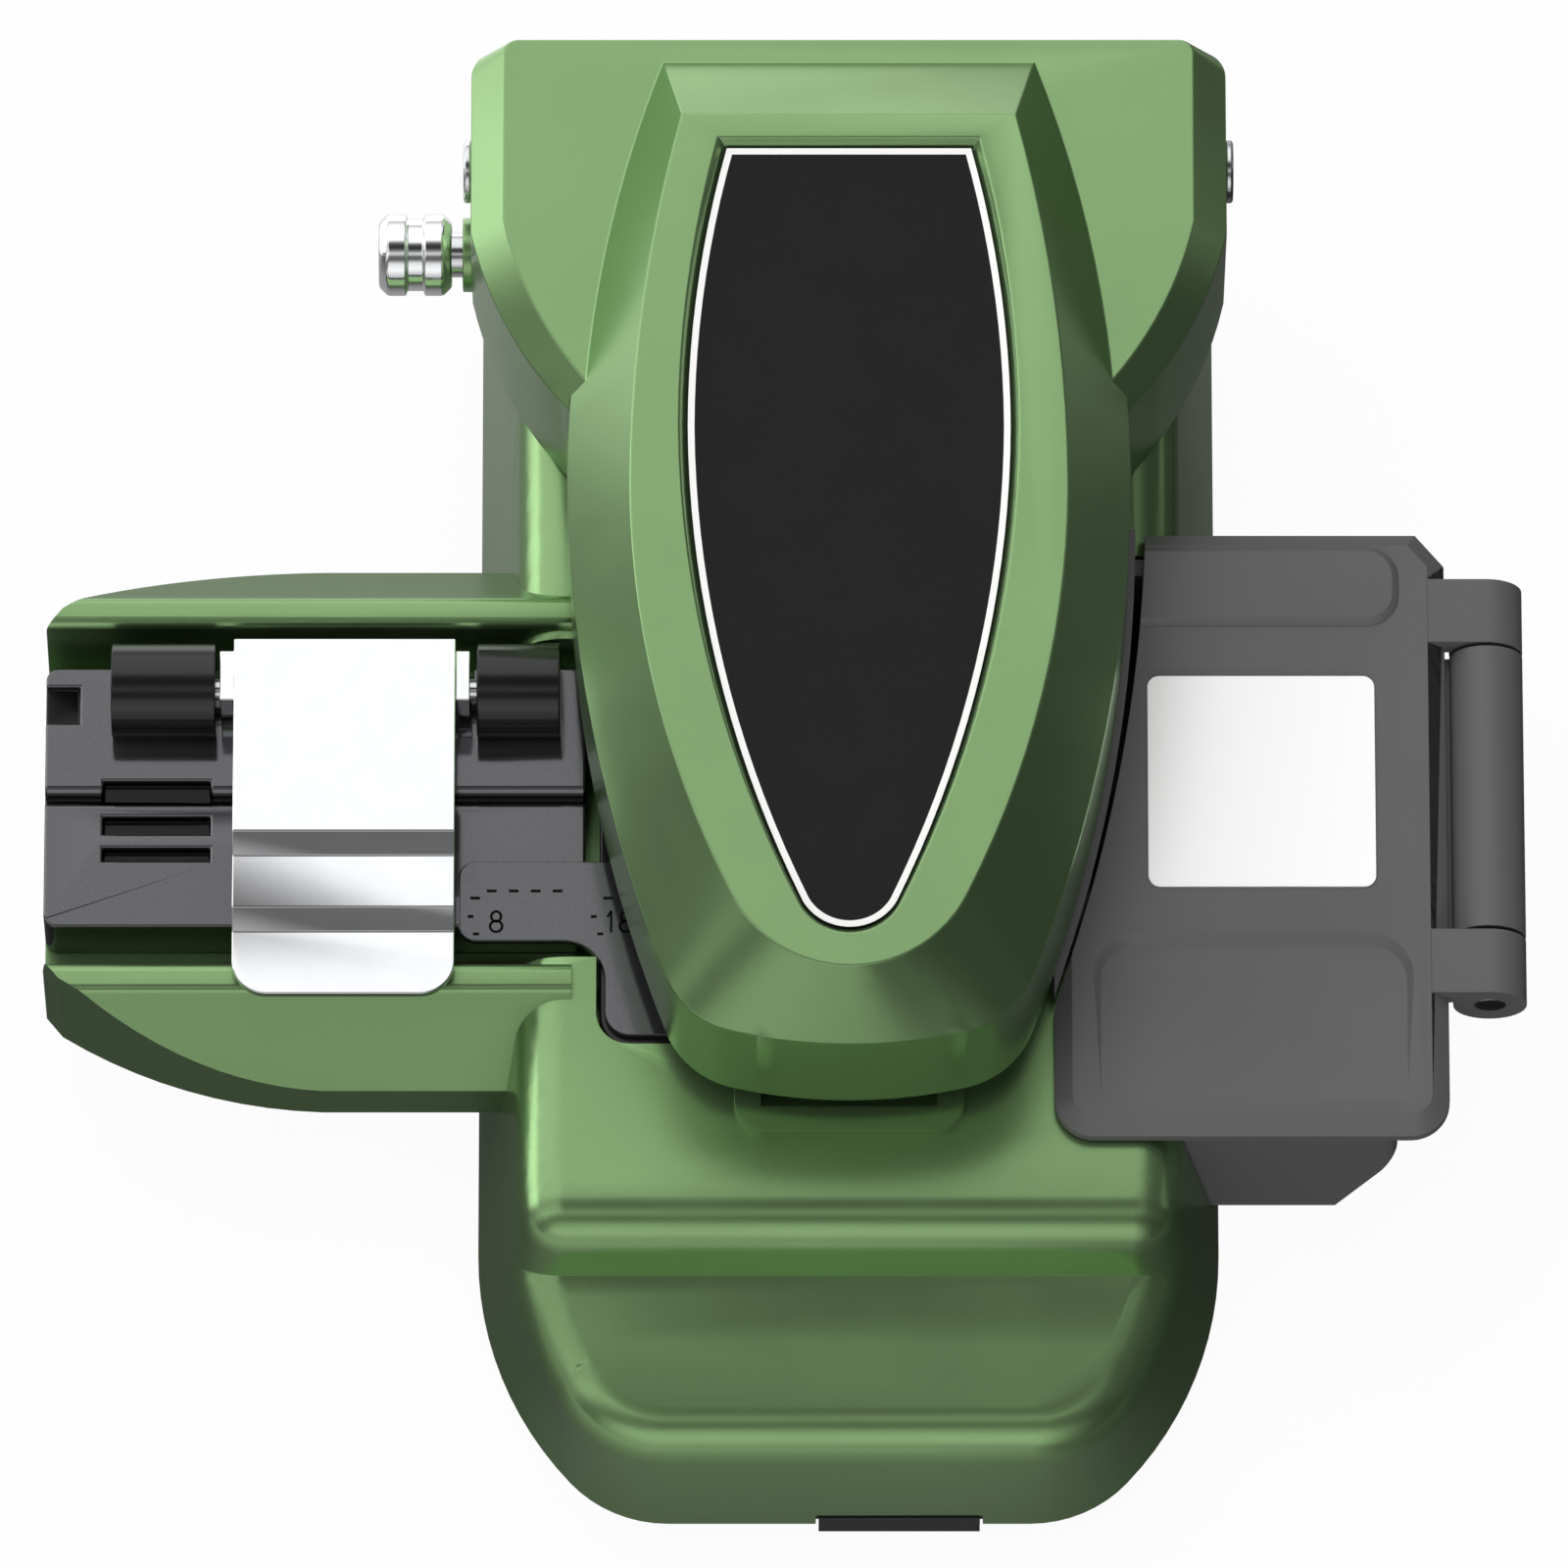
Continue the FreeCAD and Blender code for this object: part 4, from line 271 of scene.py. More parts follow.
@dataclass(frozen=True)
class Enamel:
    """Metallic enamel sprayed and baked over a die casting.

    To the eye it is a soft mirror: flake in the coat gives each facet one even tone of green, orange peel
    breaks the highlights a little, and slow drift and pale specks keep wide faces from looking flat. Real
    flake is a few hundredths of a millimetre across, and its specks are drawn coarser so that they can be
    seen.
    """

    name: str
    shade: str
    roughness: float = 0.25
    peel_mm: float = 0.7
    speck_mm: float = 0.35
    wipe_mm: float = 9.0
    drift_mm: float = 22.0
    drift_ends: Point = (0.25, 0.75)
    speck_ends: Point = (0.60, 0.80)
    speck_shade: Colour = (0.93, 0.95, 0.92, 1)
    wipe_spread: Point = (0.04, 0.05)
    mottle: float = 0.03
    flake: float = 0.85
    ior: float = 1.5
    specular: float = 0.35
    peel_strength: float = 0.10
    peel_depth_mm: float = 0.03

    def make(self) -> bpy.types.Material:
        """Build the enamel with its drift, specks and orange peel."""
        material, output = new_material(self.name)
        tree = material.node_tree
        base = linear(self.shade)
        drift = noise(tree, self.drift_mm, 2.0)
        tone = mottled(tree, drift, base, self.drift_ends, (1 - self.mottle, 1 + self.mottle))
        dust = noise(tree, self.speck_mm, 1.0)
        clear, full = self.speck_ends
        speck = ramp(tree, dust, [(clear, (1, 1, 1, 1)), (full, self.speck_shade)])
        mixed = add_node(
            tree, "ShaderNodeMix", {0: 1.0, 6: tone, 7: speck}, data_type="RGBA", blend_type="MULTIPLY"
        )
        gloss = wiped(tree, self.wipe_mm, self.roughness, self.wipe_spread)
        peel = relief(tree, noise(tree, self.peel_mm, 2.0), self.peel_strength, self.peel_depth_mm)
        cover(tree, output, {
            "Base Color": mixed.outputs[2], "Roughness": gloss, "Normal": peel, "Metallic": self.flake,
            "IOR": self.ior, "Specular IOR Level": self.specular,
        })
        return material


@dataclass(frozen=True)
class Plastic:
    """Plastic, rubber, vinyl or ink that a mould, a knife or a screen has left its grain on.

    To the eye it is a body colour with faint flow marks under a spark-eroded grain: dull and soft where the
    grain is deep, and with clear highlights where the mould was polished. Real grain is near a tenth of a
    millimetre, and it is drawn two to five times coarser so that it can be seen.
    """

    name: str
    shade: str
    roughness: float = 0.5
    grain_mm: float = 0.3
    grain_strength: float = 0.12
    mottle: float = 0.04
    specular: float = 0.4
    ior: float = 1.46
    flow_mm: float = 16.0
    flow_stretch: Triple = (1.0, 0.6, 1.0)
    wipe_mm: float = 5.0
    wipe_spread: Point = (0.04, 0.04)
    grain_depth_mm: float = 0.02

    def make(self) -> bpy.types.Material:
        """Build the plastic with its grain and flow marks."""
        material, output = new_material(self.name)
        tree = material.node_tree
        base = linear(self.shade)
        flow = noise(tree, self.flow_mm, 2.0, self.flow_stretch)
        tone = mottled(tree, flow, base, NOISE_ENDS, (1 - self.mottle, 1 + self.mottle))
        gloss = wiped(tree, self.wipe_mm, self.roughness, self.wipe_spread)
        grain = relief(tree, noise(tree, self.grain_mm, 2.0), self.grain_strength, self.grain_depth_mm)
        cover(tree, output, {
            "Base Color": tone, "Roughness": gloss, "Normal": grain,
            "IOR": self.ior, "Specular IOR Level": self.specular,
        })
        return material


@dataclass(frozen=True)
class Lay:
    """Marks that finishing leaves on bare metal."""

    mark_mm: float
    dull: float
    bright: float
    gloss_spread: float
    strength: float
    stretch: Triple = (1, 1, 1)


class Surface(Enum):
    """How a metal's surface was finished.

    Real grinding lines are a few hundredths of a millimetre apart, and are drawn coarser so that they can
    be seen.
    """

    POLISHED = Lay(mark_mm=3.0, dull=0.98, bright=1.01, gloss_spread=0.01, strength=0.01)
    GROUND = Lay(
        mark_mm=0.25, dull=0.90, bright=1.06, gloss_spread=0.10, strength=0.15, stretch=(0.04, 1.0, 1.0)
    )


@dataclass(frozen=True)
class Metal:
    """Bare or plated metal.

    To the eye it is a clean mirror with hardly a wipe mark where it was polished, and a brighter and duller
    play of parallel lines where it was ground.
    """

    name: str
    shade: str
    roughness: float = 0.12
    surface: Surface = Surface.POLISHED
    mark_depth_mm: float = 0.01

    def make(self) -> bpy.types.Material:
        """Build the metal with its lay of fine marks."""
        material, output = new_material(self.name)
        tree = material.node_tree
        base = linear(self.shade)
        lay = self.surface.value
        marks = noise(tree, lay.mark_mm, stretch=lay.stretch)
        tone = mottled(tree, marks, base, NOISE_ENDS, (lay.dull, lay.bright))
        gloss = spread_over(
            tree, marks, given=(self.roughness - lay.gloss_spread / 2, self.roughness + lay.gloss_spread)
        )
        lines = relief(tree, marks, lay.strength, self.mark_depth_mm)
        cover(tree, output, {"Base Color": tone, "Metallic": 1.0, "Roughness": gloss, "Normal": lines})
        return material


@dataclass(frozen=True)
class Anodised:
    """Bead-blasted and anodised aluminium, with painted shade below a given level where one is set.

    To the eye it is a dense satin skin with a faint metallic sparkle. Below the given level its colour is
    painted nearly black, as painted shade in the slots and grooves under the upper face. Real blasting
    leaves dimples of about a tenth of a millimetre, drawn coarser so that they can be seen.
    """

    name: str
    shade: str
    roughness: float = 0.38
    blast_mm: float = 0.25
    metallic: float = 0.55
    blast_strength: float = 0.12
    # Level in millimetres below which shade is painted in, nearly black; None paints none.
    shade_below_mm: float | None = None
    sparkle: float = 0.08
    blast_depth_mm: float = 0.015
    wipe_mm: float = 8.0
    wipe_spread: Point = (0.04, 0.05)
    # The painted shade fades in over the first, and the second is how bright it leaves the colour.
    shade_edge_mm: float = 0.1
    painted_slot_shade: float = 0.12

    def make(self) -> bpy.types.Material:
        """Build the anodised skin with its blasted grain."""
        material, output = new_material(self.name)
        tree = material.node_tree
        base = linear(self.shade)
        blast = noise(tree, self.blast_mm, 2.0)
        tone = mottled(tree, blast, base, NOISE_ENDS, (1 - self.sparkle, 1 + self.sparkle))
        if self.shade_below_mm is not None:
            tone = self.with_painted_shade(tree, base, tone)
        gloss = wiped(tree, self.wipe_mm, self.roughness, self.wipe_spread)
        grain = relief(tree, blast, self.blast_strength, self.blast_depth_mm)
        cover(tree, output, {
            "Base Color": tone, "Metallic": self.metallic, "Roughness": gloss, "Normal": grain,
        })
        return material

    def with_painted_shade(
        self, tree: bpy.types.NodeTree, base: Colour, tone: bpy.types.NodeSocket
    ) -> bpy.types.NodeSocket:
        """Keep the tone on the upper faces, and paint shade, nearly black, on what lies below them.

        Args:
            tree: the shader tree.
            base: the skin's colour.
            tone: the upper faces' colour.

        Returns:
            The colour of both.
        """
        # Painted shade: below the given level the colour fades to nearly black, for the slots and grooves.
        place = add_node(tree, "ShaderNodeTexCoord")
        spot = add_node(tree, "ShaderNodeSeparateXYZ", {"Vector": place.outputs["Object"]})
        edge = ((self.shade_below_mm - self.shade_edge_mm) * MM, self.shade_below_mm * MM)
        unshaded_share = spread_over(tree, spot.outputs["Z"], taken=edge)
        dark = shaded(base, self.painted_slot_shade)
        return add_node(tree, "ShaderNodeMix", {0: unshaded_share, 6: dark, 7: tone}, data_type="RGBA").outputs[2]


class Finish(Enum):
    """Every finish on the cleaver, each made once."""

    BASE_ENAMEL = Enamel("green_metallic_enamel_baked_on_base", "83a572")
    ARM_ENAMEL = Enamel("green_metallic_enamel_baked_on_arm", "83a572")
    GREY_ABS = Plastic(
        "grey_abs_moulded_satin", "5c5c5c",
        roughness=0.42, grain_mm=0.4, grain_strength=0.10, mottle=0.03, specular=0.3,
    )
    BLACK_GLOSS = Plastic(
        "black_nylon_moulded_gloss", "161617",
        roughness=0.16, grain_mm=0.5, grain_strength=0.05, mottle=0.03, specular=0.5,
    )
    BLACK_PLATE = Plastic(
        "black_vinyl_plate_matt", "1c1c1d", roughness=0.6, grain_strength=0.05, mottle=0.02, specular=0.15
    )
    WHITE_PLATE = Plastic(
        "white_vinyl_plate_matt", "fdfdfd", roughness=0.55, grain_strength=0.04, mottle=0.0
    )
    WHITE_INK = Plastic("white_enamel_ink_printed", "f4f4f2", grain_mm=0.2, grain_strength=0.05, mottle=0.0)
    BLACK_INK = Plastic(
        "black_enamel_ink_filled", "0c0c0d", grain_mm=0.2, grain_strength=0.05, mottle=0.0, specular=0.1
    )
    RUBBER = Plastic("black_rubber_moulded_matt", "1b1b1c", roughness=0.78, grain_mm=0.5, grain_strength=0.3)
    GREY_PAD = Plastic("grey_silicone_pad_moulded", "5c5d60", roughness=0.6, grain_strength=0.15)
    SCALE_PLATE = Anodised(
        "dark_aluminium_polished_anodised", "616164", roughness=0.10, metallic=0.85, blast_strength=0.03
    )
    # Painted shade: all below the holder's upper face is coloured nearly black, for the shade in its slots
    # and grooves.
    SLOT_SHADED_HOLDER = Anodised(
        "dark_aluminium_anodised_painted_slot_shade", "616164",
        roughness=0.10, metallic=0.85, blast_strength=0.03,
        shade_below_mm=26.2,  # just under the holder's upper face
    )
    BLACK_ANODISED = Anodised("black_aluminium_anodised", "2a2a2c", roughness=0.4)
    CHROME = Metal("steel_chrome_plated_polished", "eeeff1", roughness=0.05)
    PIN_STEEL = Metal("steel_pin_polished", "d2d3d6", roughness=0.14)
    GROUND_STEEL = Metal("steel_ground_bright", "b4b5b8", roughness=0.26, surface=Surface.GROUND)
    CARBIDE = Metal("carbide_lapped", "8f9194", roughness=0.2, surface=Surface.GROUND)
    BRONZE = Metal("bronze_sintered", "b08d57", roughness=0.42, surface=Surface.GROUND)
    MAGNET = Metal("magnet_nickel_plated", "c8c8c4", roughness=0.2)

    @property
    def material(self) -> bpy.types.Material:
        """The finish's material, built on first use."""
        found = bpy.data.materials.get(self.value.name)
        return found or self.value.make()


def place_mesh(name: str, mesh: bpy.types.Mesh, finish: Finish, body: str) -> bpy.types.Object:
    """Put a finished mesh in the scene as a piece that moves with a body.

    Args:
        name: the piece's name.
        mesh: its mesh, already in place.
        finish: its finish.
        body: the CAD body it rides on.

    Returns:
        The piece.
    """
    piece = bpy.data.objects.new(name, mesh)
    bpy.context.collection.objects.link(piece)
    mesh.materials.clear()
    mesh.materials.append(finish.material)
    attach(piece, body)
    log.info("%s: %d faces on %s", name, len(mesh.polygons), body)
    return piece


def joined_copy(node: str) -> bmesh.types.BMesh:
    """A copy of a solid's mesh whose faces share their corners."""
    work = bmesh.new()
    work.from_mesh(frame["nodes"][node].data)
    bmesh.ops.remove_doubles(work, verts=work.verts, dist=JOIN_MM * MM)
    return work


def finish_mesh(work: bmesh.types.BMesh, name: str, sharp_deg: float = 32.0) -> bpy.types.Mesh:
    """Write a bmesh to a mesh with smooth faces and sharp creases.

    Args:
        work: the bmesh, freed here.
        name: the mesh's name.
        sharp_deg: edges that turn more than this stay sharp.

    Returns:
        The mesh.
    """
    mesh = bpy.data.meshes.new(name)
    work.to_mesh(mesh)
    work.free()
    mesh.polygons.foreach_set("use_smooth", [True] * len(mesh.polygons))
    mesh.set_sharp_from_angle(angle=math.radians(sharp_deg))
    return mesh


def with_modifiers(piece: bpy.types.Object) -> bpy.types.Mesh:
    """The mesh of a piece with its modifiers applied.

    Args:
        piece: a linked object.

    Returns:
        A new mesh.
    """
    bpy.context.view_layer.update()
    graph = bpy.context.evaluated_depsgraph_get()
    return bpy.data.meshes.new_from_object(piece.evaluated_get(graph), depsgraph=graph)


@dataclass(frozen=True)
class Shell:
    """A rigid part dressed from its own solid: joined faces, rounded edges and a finish.

    round_mm is the radius given to its edges, and 0 leaves them crisp. Edges that turn more than corner_deg
    are rounded, and those that turn just less stay sharp. Faces that lie within flat_deg of each other
    become one.
    """

    node: str
    finish: Finish
    round_mm: float = 0.0
    steps: int = 2
    corner_deg: float = 34.0
    sharp_margin_deg: float = 2.0
    flat_deg: float = 0.6

    def build(self) -> bpy.types.Object:
        """Replace the solid by a joined copy with rounded edges."""
        work = joined_copy(self.node)
        bmesh.ops.dissolve_limit(
            work, angle_limit=math.radians(self.flat_deg), verts=work.verts, edges=work.edges,
            delimit={"NORMAL"},
        )
        mesh = finish_mesh(work, self.node, self.corner_deg - self.sharp_margin_deg)
        if self.round_mm:
            mesh = self.rounded(mesh)
        piece = place_mesh(f"{self.node}_skin", mesh, self.finish, body_of(self.node))
        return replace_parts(piece, self.node)

    def rounded(self, mesh: bpy.types.Mesh) -> bpy.types.Mesh:
        """Round the edges that turn sharply.

        Args:
            mesh: the joined mesh.

        Returns:
            The rounded mesh, with normals weighted by face area.
        """
        carrier = bpy.data.objects.new("rounding", mesh)
        bpy.context.collection.objects.link(carrier)
        bevel = carrier.modifiers.new("edges", "BEVEL")
        bevel.width = self.round_mm * MM
        bevel.segments = self.steps
        bevel.limit_method = "ANGLE"
        bevel.angle_limit = math.radians(self.corner_deg)
        bevel.use_clamp_overlap = True
        bevel.harden_normals = True
        result = with_modifiers(carrier)
        bpy.data.objects.remove(carrier)
        bpy.data.meshes.remove(mesh)
        return result


def body_of(node: str) -> str:
    """The CAD body that carries a node."""
    return next(body for body, names in frame["record"]["behaviour"]["bodies"].items() if node in names)


def flat_sheet(outline: list[Point], height: float) -> bmesh.types.BMesh:
    """A flat face on a level plane, facing up.

    Args:
        outline: its corners in metres, anticlockwise.
        height: its level in metres.

    Returns:
        A bmesh with the one face.
    """
    work = bmesh.new()
    work.faces.new([work.verts.new((x, y, height)) for x, y in outline])
    return work


def thicken(work: bmesh.types.BMesh, depth: float) -> bmesh.types.BMesh:
    """Give level faces a thickness above them, and close the sides.

    Args:
        work: a bmesh of level faces that face up.
        depth: thickness in metres.

    Returns:
        The same bmesh.
    """
    grown = bmesh.ops.extrude_face_region(work, geom=list(work.faces))
    moved = [part for part in grown["geom"] if isinstance(part, bmesh.types.BMVert)]
    bmesh.ops.translate(work, verts=moved, vec=(0, 0, depth))
    bmesh.ops.recalc_face_normals(work, faces=work.faces)
    return work


@dataclass(frozen=True)
class BaseCasting:
    """Enamelled base with its plate, rubber mat, screws and hinge bushes."""

    edge_mm: float = 0.7

    def build(self) -> None:
        """Dress the base's parts."""
        for shell in (
            Shell("base_housing", Finish.BASE_ENAMEL, self.edge_mm, steps=3),
            Shell("base_plate", Finish.BLACK_ANODISED),
            Shell("foot_mat", Finish.RUBBER, round_mm=0.4),
            Shell("base_screws", Finish.GROUND_STEEL),
            Shell("catch_magnet", Finish.MAGNET),
            Shell("hinge_bush_left", Finish.BRONZE),
            Shell("hinge_bush_right", Finish.BRONZE),
            Shell("cleaving_block", Finish.BLACK_GLOSS, round_mm=0.3),
            Shell("lower_pad_left", Finish.GREY_PAD, round_mm=0.15),
            Shell("lower_pad_right", Finish.GREY_PAD, round_mm=0.15),
        ):
            shell.build()


@dataclass(frozen=True)
class Arm:
    """Pressing arm with its black inset, pads, anvil, hinge pin and stop knob."""

    edge_mm: float = 0.9

    def build(self) -> None:
        """Dress the arm's parts."""
        for shell in (
            Shell("arm_shell", Finish.ARM_ENAMEL, self.edge_mm, steps=4, corner_deg=30.0),
            Shell("inset_panel", Finish.BLACK_PLATE, round_mm=0.1),
            Shell("arm_inner_plate", Finish.BLACK_ANODISED, round_mm=0.2),
            Shell("upper_pad_left", Finish.GREY_PAD, round_mm=0.15),
            Shell("upper_pad_right", Finish.GREY_PAD, round_mm=0.15),
            Shell("anvil", Finish.GROUND_STEEL),
            Shell("catch_keeper", Finish.GROUND_STEEL),
            Shell("arm_hinge_pin", Finish.PIN_STEEL, round_mm=0.3),
            Shell("stop_pin", Finish.PIN_STEEL),
            Shell("stop_knob", Finish.CHROME, round_mm=0.5, steps=4),
        ):
            shell.build()


@dataclass(frozen=True)
class FibreHolder:
    """Anodised holder with its chrome clip, black knuckles and length scale.

    The clip's bends are shallower than other corners, so its corner angle is lower.
    """

    edge_mm: float = 0.25

    def build(self) -> None:
        """Dress the holder and its clip."""
        for shell in (
            # Its finish paints shade, nearly black, into the slots and grooves below the upper face.
            Shell("fibre_holder", Finish.SLOT_SHADED_HOLDER, self.edge_mm),
            Shell("clip_knuckle_left", Finish.BLACK_GLOSS, round_mm=0.3),
            Shell("clip_knuckle_right", Finish.BLACK_GLOSS, round_mm=0.3),
            Shell("clip_pin", Finish.PIN_STEEL),
            Shell("clip_plate", Finish.CHROME, round_mm=0.3, steps=4, corner_deg=20.0),
            Shell("clip_pad", Finish.RUBBER),
            Shell("length_scale", Finish.SCALE_PLATE, round_mm=0.15),
        ):
            shell.build()


@dataclass(frozen=True)
class BladeCarriage:
    """Slide with its lapped carbide wheel."""

    def build(self) -> None:
        """Dress the carriage and the blade."""
        for shell in (
            Shell("slide_rail", Finish.GROUND_STEEL),
            Shell("blade_carriage", Finish.BLACK_ANODISED, round_mm=0.3),
            Shell("blade_axle", Finish.GROUND_STEEL),
            Shell("round_blade", Finish.CARBIDE),
            Shell("blade_hub", Finish.GROUND_STEEL, round_mm=0.2),
            Shell("blade_nut", Finish.GROUND_STEEL, round_mm=0.2),
        ):
            shell.build()


@dataclass(frozen=True)
class WasteBox:
    """Grey moulded box with its hinged lid, bare label plate and fibre rollers."""

    edge_mm: float = 0.45

    def build(self) -> None:
        """Dress the box, the lid and the rollers."""
        for shell in (
            Shell("waste_box", Finish.GREY_ABS, self.edge_mm, steps=3),
            Shell("waste_lid", Finish.GREY_ABS, self.edge_mm, steps=3),
            Shell("label_plate", Finish.WHITE_PLATE, round_mm=0.05),
            Shell("lid_hinge_pin", Finish.PIN_STEEL, round_mm=0.2),
            Shell("lower_roller", Finish.RUBBER, round_mm=0.3),
            Shell("upper_roller", Finish.RUBBER, round_mm=0.3),
            Shell("lower_roller_shaft", Finish.GROUND_STEEL),
            Shell("upper_roller_shaft", Finish.GROUND_STEEL),
            Shell("roller_bracket_front", Finish.BLACK_ANODISED, round_mm=0.2),
            Shell("roller_bracket_back", Finish.BLACK_ANODISED, round_mm=0.2),
        ):
            shell.build()


@dataclass(frozen=True)
class InsetBorder:
    """White line printed round the edge of the arm's black inset."""

    width_mm: float = 0.6
    rise_mm: float = 0.03
    level: float = 0.99
    top_band_mm: float = 0.1

    def build(self) -> None:
        """Draw the line along the panel's own outline."""
        work = joined_copy("inset_panel")
        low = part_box("inset_panel")[1][2] - self.top_band_mm * MM
        others = [
            face for face in work.faces if face.normal.z < self.level or face.calc_center_median().z < low
        ]
        bmesh.ops.delete(work, geom=others, context="FACES")
        bmesh.ops.dissolve_faces(work, faces=list(work.faces))
        ring = bmesh.ops.inset_region(
            work, faces=list(work.faces), thickness=self.width_mm * MM,
            use_even_offset=True, use_boundary=True,
        )
        kept = set(ring["faces"])
        bmesh.ops.delete(work, geom=[face for face in work.faces if face not in kept], context="FACES")
        thicken(work, self.rise_mm * MM)
        mesh = finish_mesh(work, "inset_border")
        place_mesh("inset_border", mesh, Finish.WHITE_INK, "arm")


def loop(half_wide: float, half_tall: float, middle: float) -> tuple[Point, ...]:
    """A closed ring of sixteen strokes in a unit square."""
    turns = [step * math.pi / 8 for step in range(17)]
    return tuple((0.5 + half_wide * math.sin(turn), middle + half_tall * math.cos(turn)) for turn in turns)


class Digit(Enum):
    """Strokes of the scale's digits in a unit square, as polylines."""

    ONE = (((0.3, 0.75), (0.55, 1.0), (0.55, 0.0)),)
    EIGHT = (loop(0.36, 0.25, 0.75), loop(0.45, 0.27, 0.27))


@dataclass(frozen=True)
class ScaleMarks:
    """Black dashes and digits engraved in the length scale.

    side_dashes_mm holds each dash's middle along X, its distance from the plate's back edge, and its
    length. The digits are placed by their left edges along X.
    """

    dash_mm: float = 0.9
    line_mm: float = 0.28
    pitch_mm: float = 2.0
    rise_mm: float = 0.02
    row_count: int = 4
    row_start_mm: float = 3.0
    row_inset_mm: float = 2.9
    side_dashes_mm: tuple[Triple, ...] = (
        (-34.0, 3.6, 0.9), (-34.4, 5.4, 0.55), (-33.9, 7.1, 0.55),
        (-21.9, 3.6, 0.9), (-23.2, 5.4, 0.55), (-22.6, 7.1, 0.55),
    )
    digits: tuple[tuple[Digit, float], ...] = (
        (Digit.EIGHT, -32.7), (Digit.ONE, -22.3), (Digit.EIGHT, -20.9)
    )
    digit_mm: float = 2.0
    digit_width: float = 0.62
    digit_foot_mm: float = 6.9
    stroke_share: float = 0.4

    @property
    def top(self) -> float:
        """Level of the plate's upper face in metres."""
        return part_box("length_scale")[1][2]

    def build(self) -> None:
        """Lay the dashes as a row by rule, and the digits as strokes."""
        near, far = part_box("length_scale")
        work = bmesh.new()
        work.from_mesh(self.dash_row(near[0] + self.row_start_mm * MM, far[1] - self.row_inset_mm * MM))
        for x, inset, length in self.side_dashes_mm:
            self.bar(work, x * MM, far[1] - inset * MM, length * MM)
        for digit, x in self.digits:
            self.strokes(work, digit, x * MM, far[1] - self.digit_foot_mm * MM)
        place_mesh("scale_marks", finish_mesh(work, "scale_marks"), Finish.BLACK_INK, "base")

    def dash_row(self, start_x: float, row_y: float) -> bpy.types.Mesh:
        """Make the even row of dashes with geometry nodes.

        Args:
            start_x: middle of the first dash.
            row_y: the row's place along Y.

        Returns:
            The dashes as one mesh.
        """
        wanted = {
            "Length": self.dash_mm * MM, "Width": self.line_mm * MM, "Rise": 2 * self.rise_mm * MM,
            "Pitch": self.pitch_mm * MM, "Count": self.row_count,
        }
        tree = bpy.data.node_groups.new("dash_row", "GeometryNodeTree")
        sockets = {}
        for name, value in wanted.items():
            kind = "NodeSocketInt" if isinstance(value, int) else "NodeSocketFloat"
            sockets[name] = tree.interface.new_socket(name=name, in_out="INPUT", socket_type=kind).identifier
        tree.interface.new_socket(name="Geometry", in_out="OUTPUT", socket_type="NodeSocketGeometry")
        given = add_node(tree, "NodeGroupInput").outputs
        size = add_node(
            tree, "ShaderNodeCombineXYZ", {"X": given["Length"], "Y": given["Width"], "Z": given["Rise"]}
        )
        dash = add_node(tree, "GeometryNodeMeshCube", {"Size": size.outputs["Vector"]})
        step = add_node(tree, "ShaderNodeCombineXYZ", {"X": given["Pitch"]})
        row = add_node(
            tree, "GeometryNodeMeshLine", {"Count": given["Count"], "Offset": step.outputs["Vector"]}
        )
        copies = add_node(
            tree, "GeometryNodeInstanceOnPoints",
            {"Points": row.outputs["Mesh"], "Instance": dash.outputs["Mesh"]},
        )
        real = add_node(tree, "GeometryNodeRealizeInstances", {"Geometry": copies.outputs["Instances"]})
        output = add_node(tree, "NodeGroupOutput")
        tree.links.new(real.outputs["Geometry"], output.inputs["Geometry"])
        carrier = bpy.data.objects.new("dash_row", bpy.data.meshes.new("dash_row"))
        modifier = carrier.modifiers.new("dashes", "NODES")
        modifier.node_group = tree
        for name, value in wanted.items():
            modifier[sockets[name]] = value
        bpy.context.collection.objects.link(carrier)
        mesh = with_modifiers(carrier)
        bpy.data.objects.remove(carrier)
        mesh.transform(Matrix.Translation((start_x, row_y, self.top)))
        return mesh

    def bar(self, work: bmesh.types.BMesh, x: float, y: float, length: float) -> None:
        """Add one dash of a length to the marks, with its middle at x and y."""
        size = Matrix.Diagonal((length, self.line_mm * MM, 2 * self.rise_mm * MM, 1))
        bmesh.ops.create_cube(work, size=1.0, matrix=Matrix.Translation((x, y, self.top)) @ size)

    def strokes(self, work: bmesh.types.BMesh, digit: Digit, x: float, y: float) -> None:
        """Add a digit as flat strokes.

        Args:
            work: the marks so far.
            digit: the digit.
            x: its left edge in metres.
            y: its foot in metres.
        """
        tall, half = self.digit_mm * MM, self.line_mm * MM * self.stroke_share
        for line in digit.value:
            points = [Vector((x + px * tall * self.digit_width, y + py * tall, 0)) for px, py in line]
            for start, end in zip(points, points[1:]):
                along = end - start
                turn = Matrix.Rotation(math.atan2(along.y, along.x), 4, "Z")
                place = Matrix.Translation((start + end) / 2 + Vector((0, 0, self.top))) @ turn
                size = Matrix.Diagonal((along.length + half, 2 * half, 2 * self.rise_mm * MM, 1))
                bmesh.ops.create_cube(work, size=1.0, matrix=place @ size)


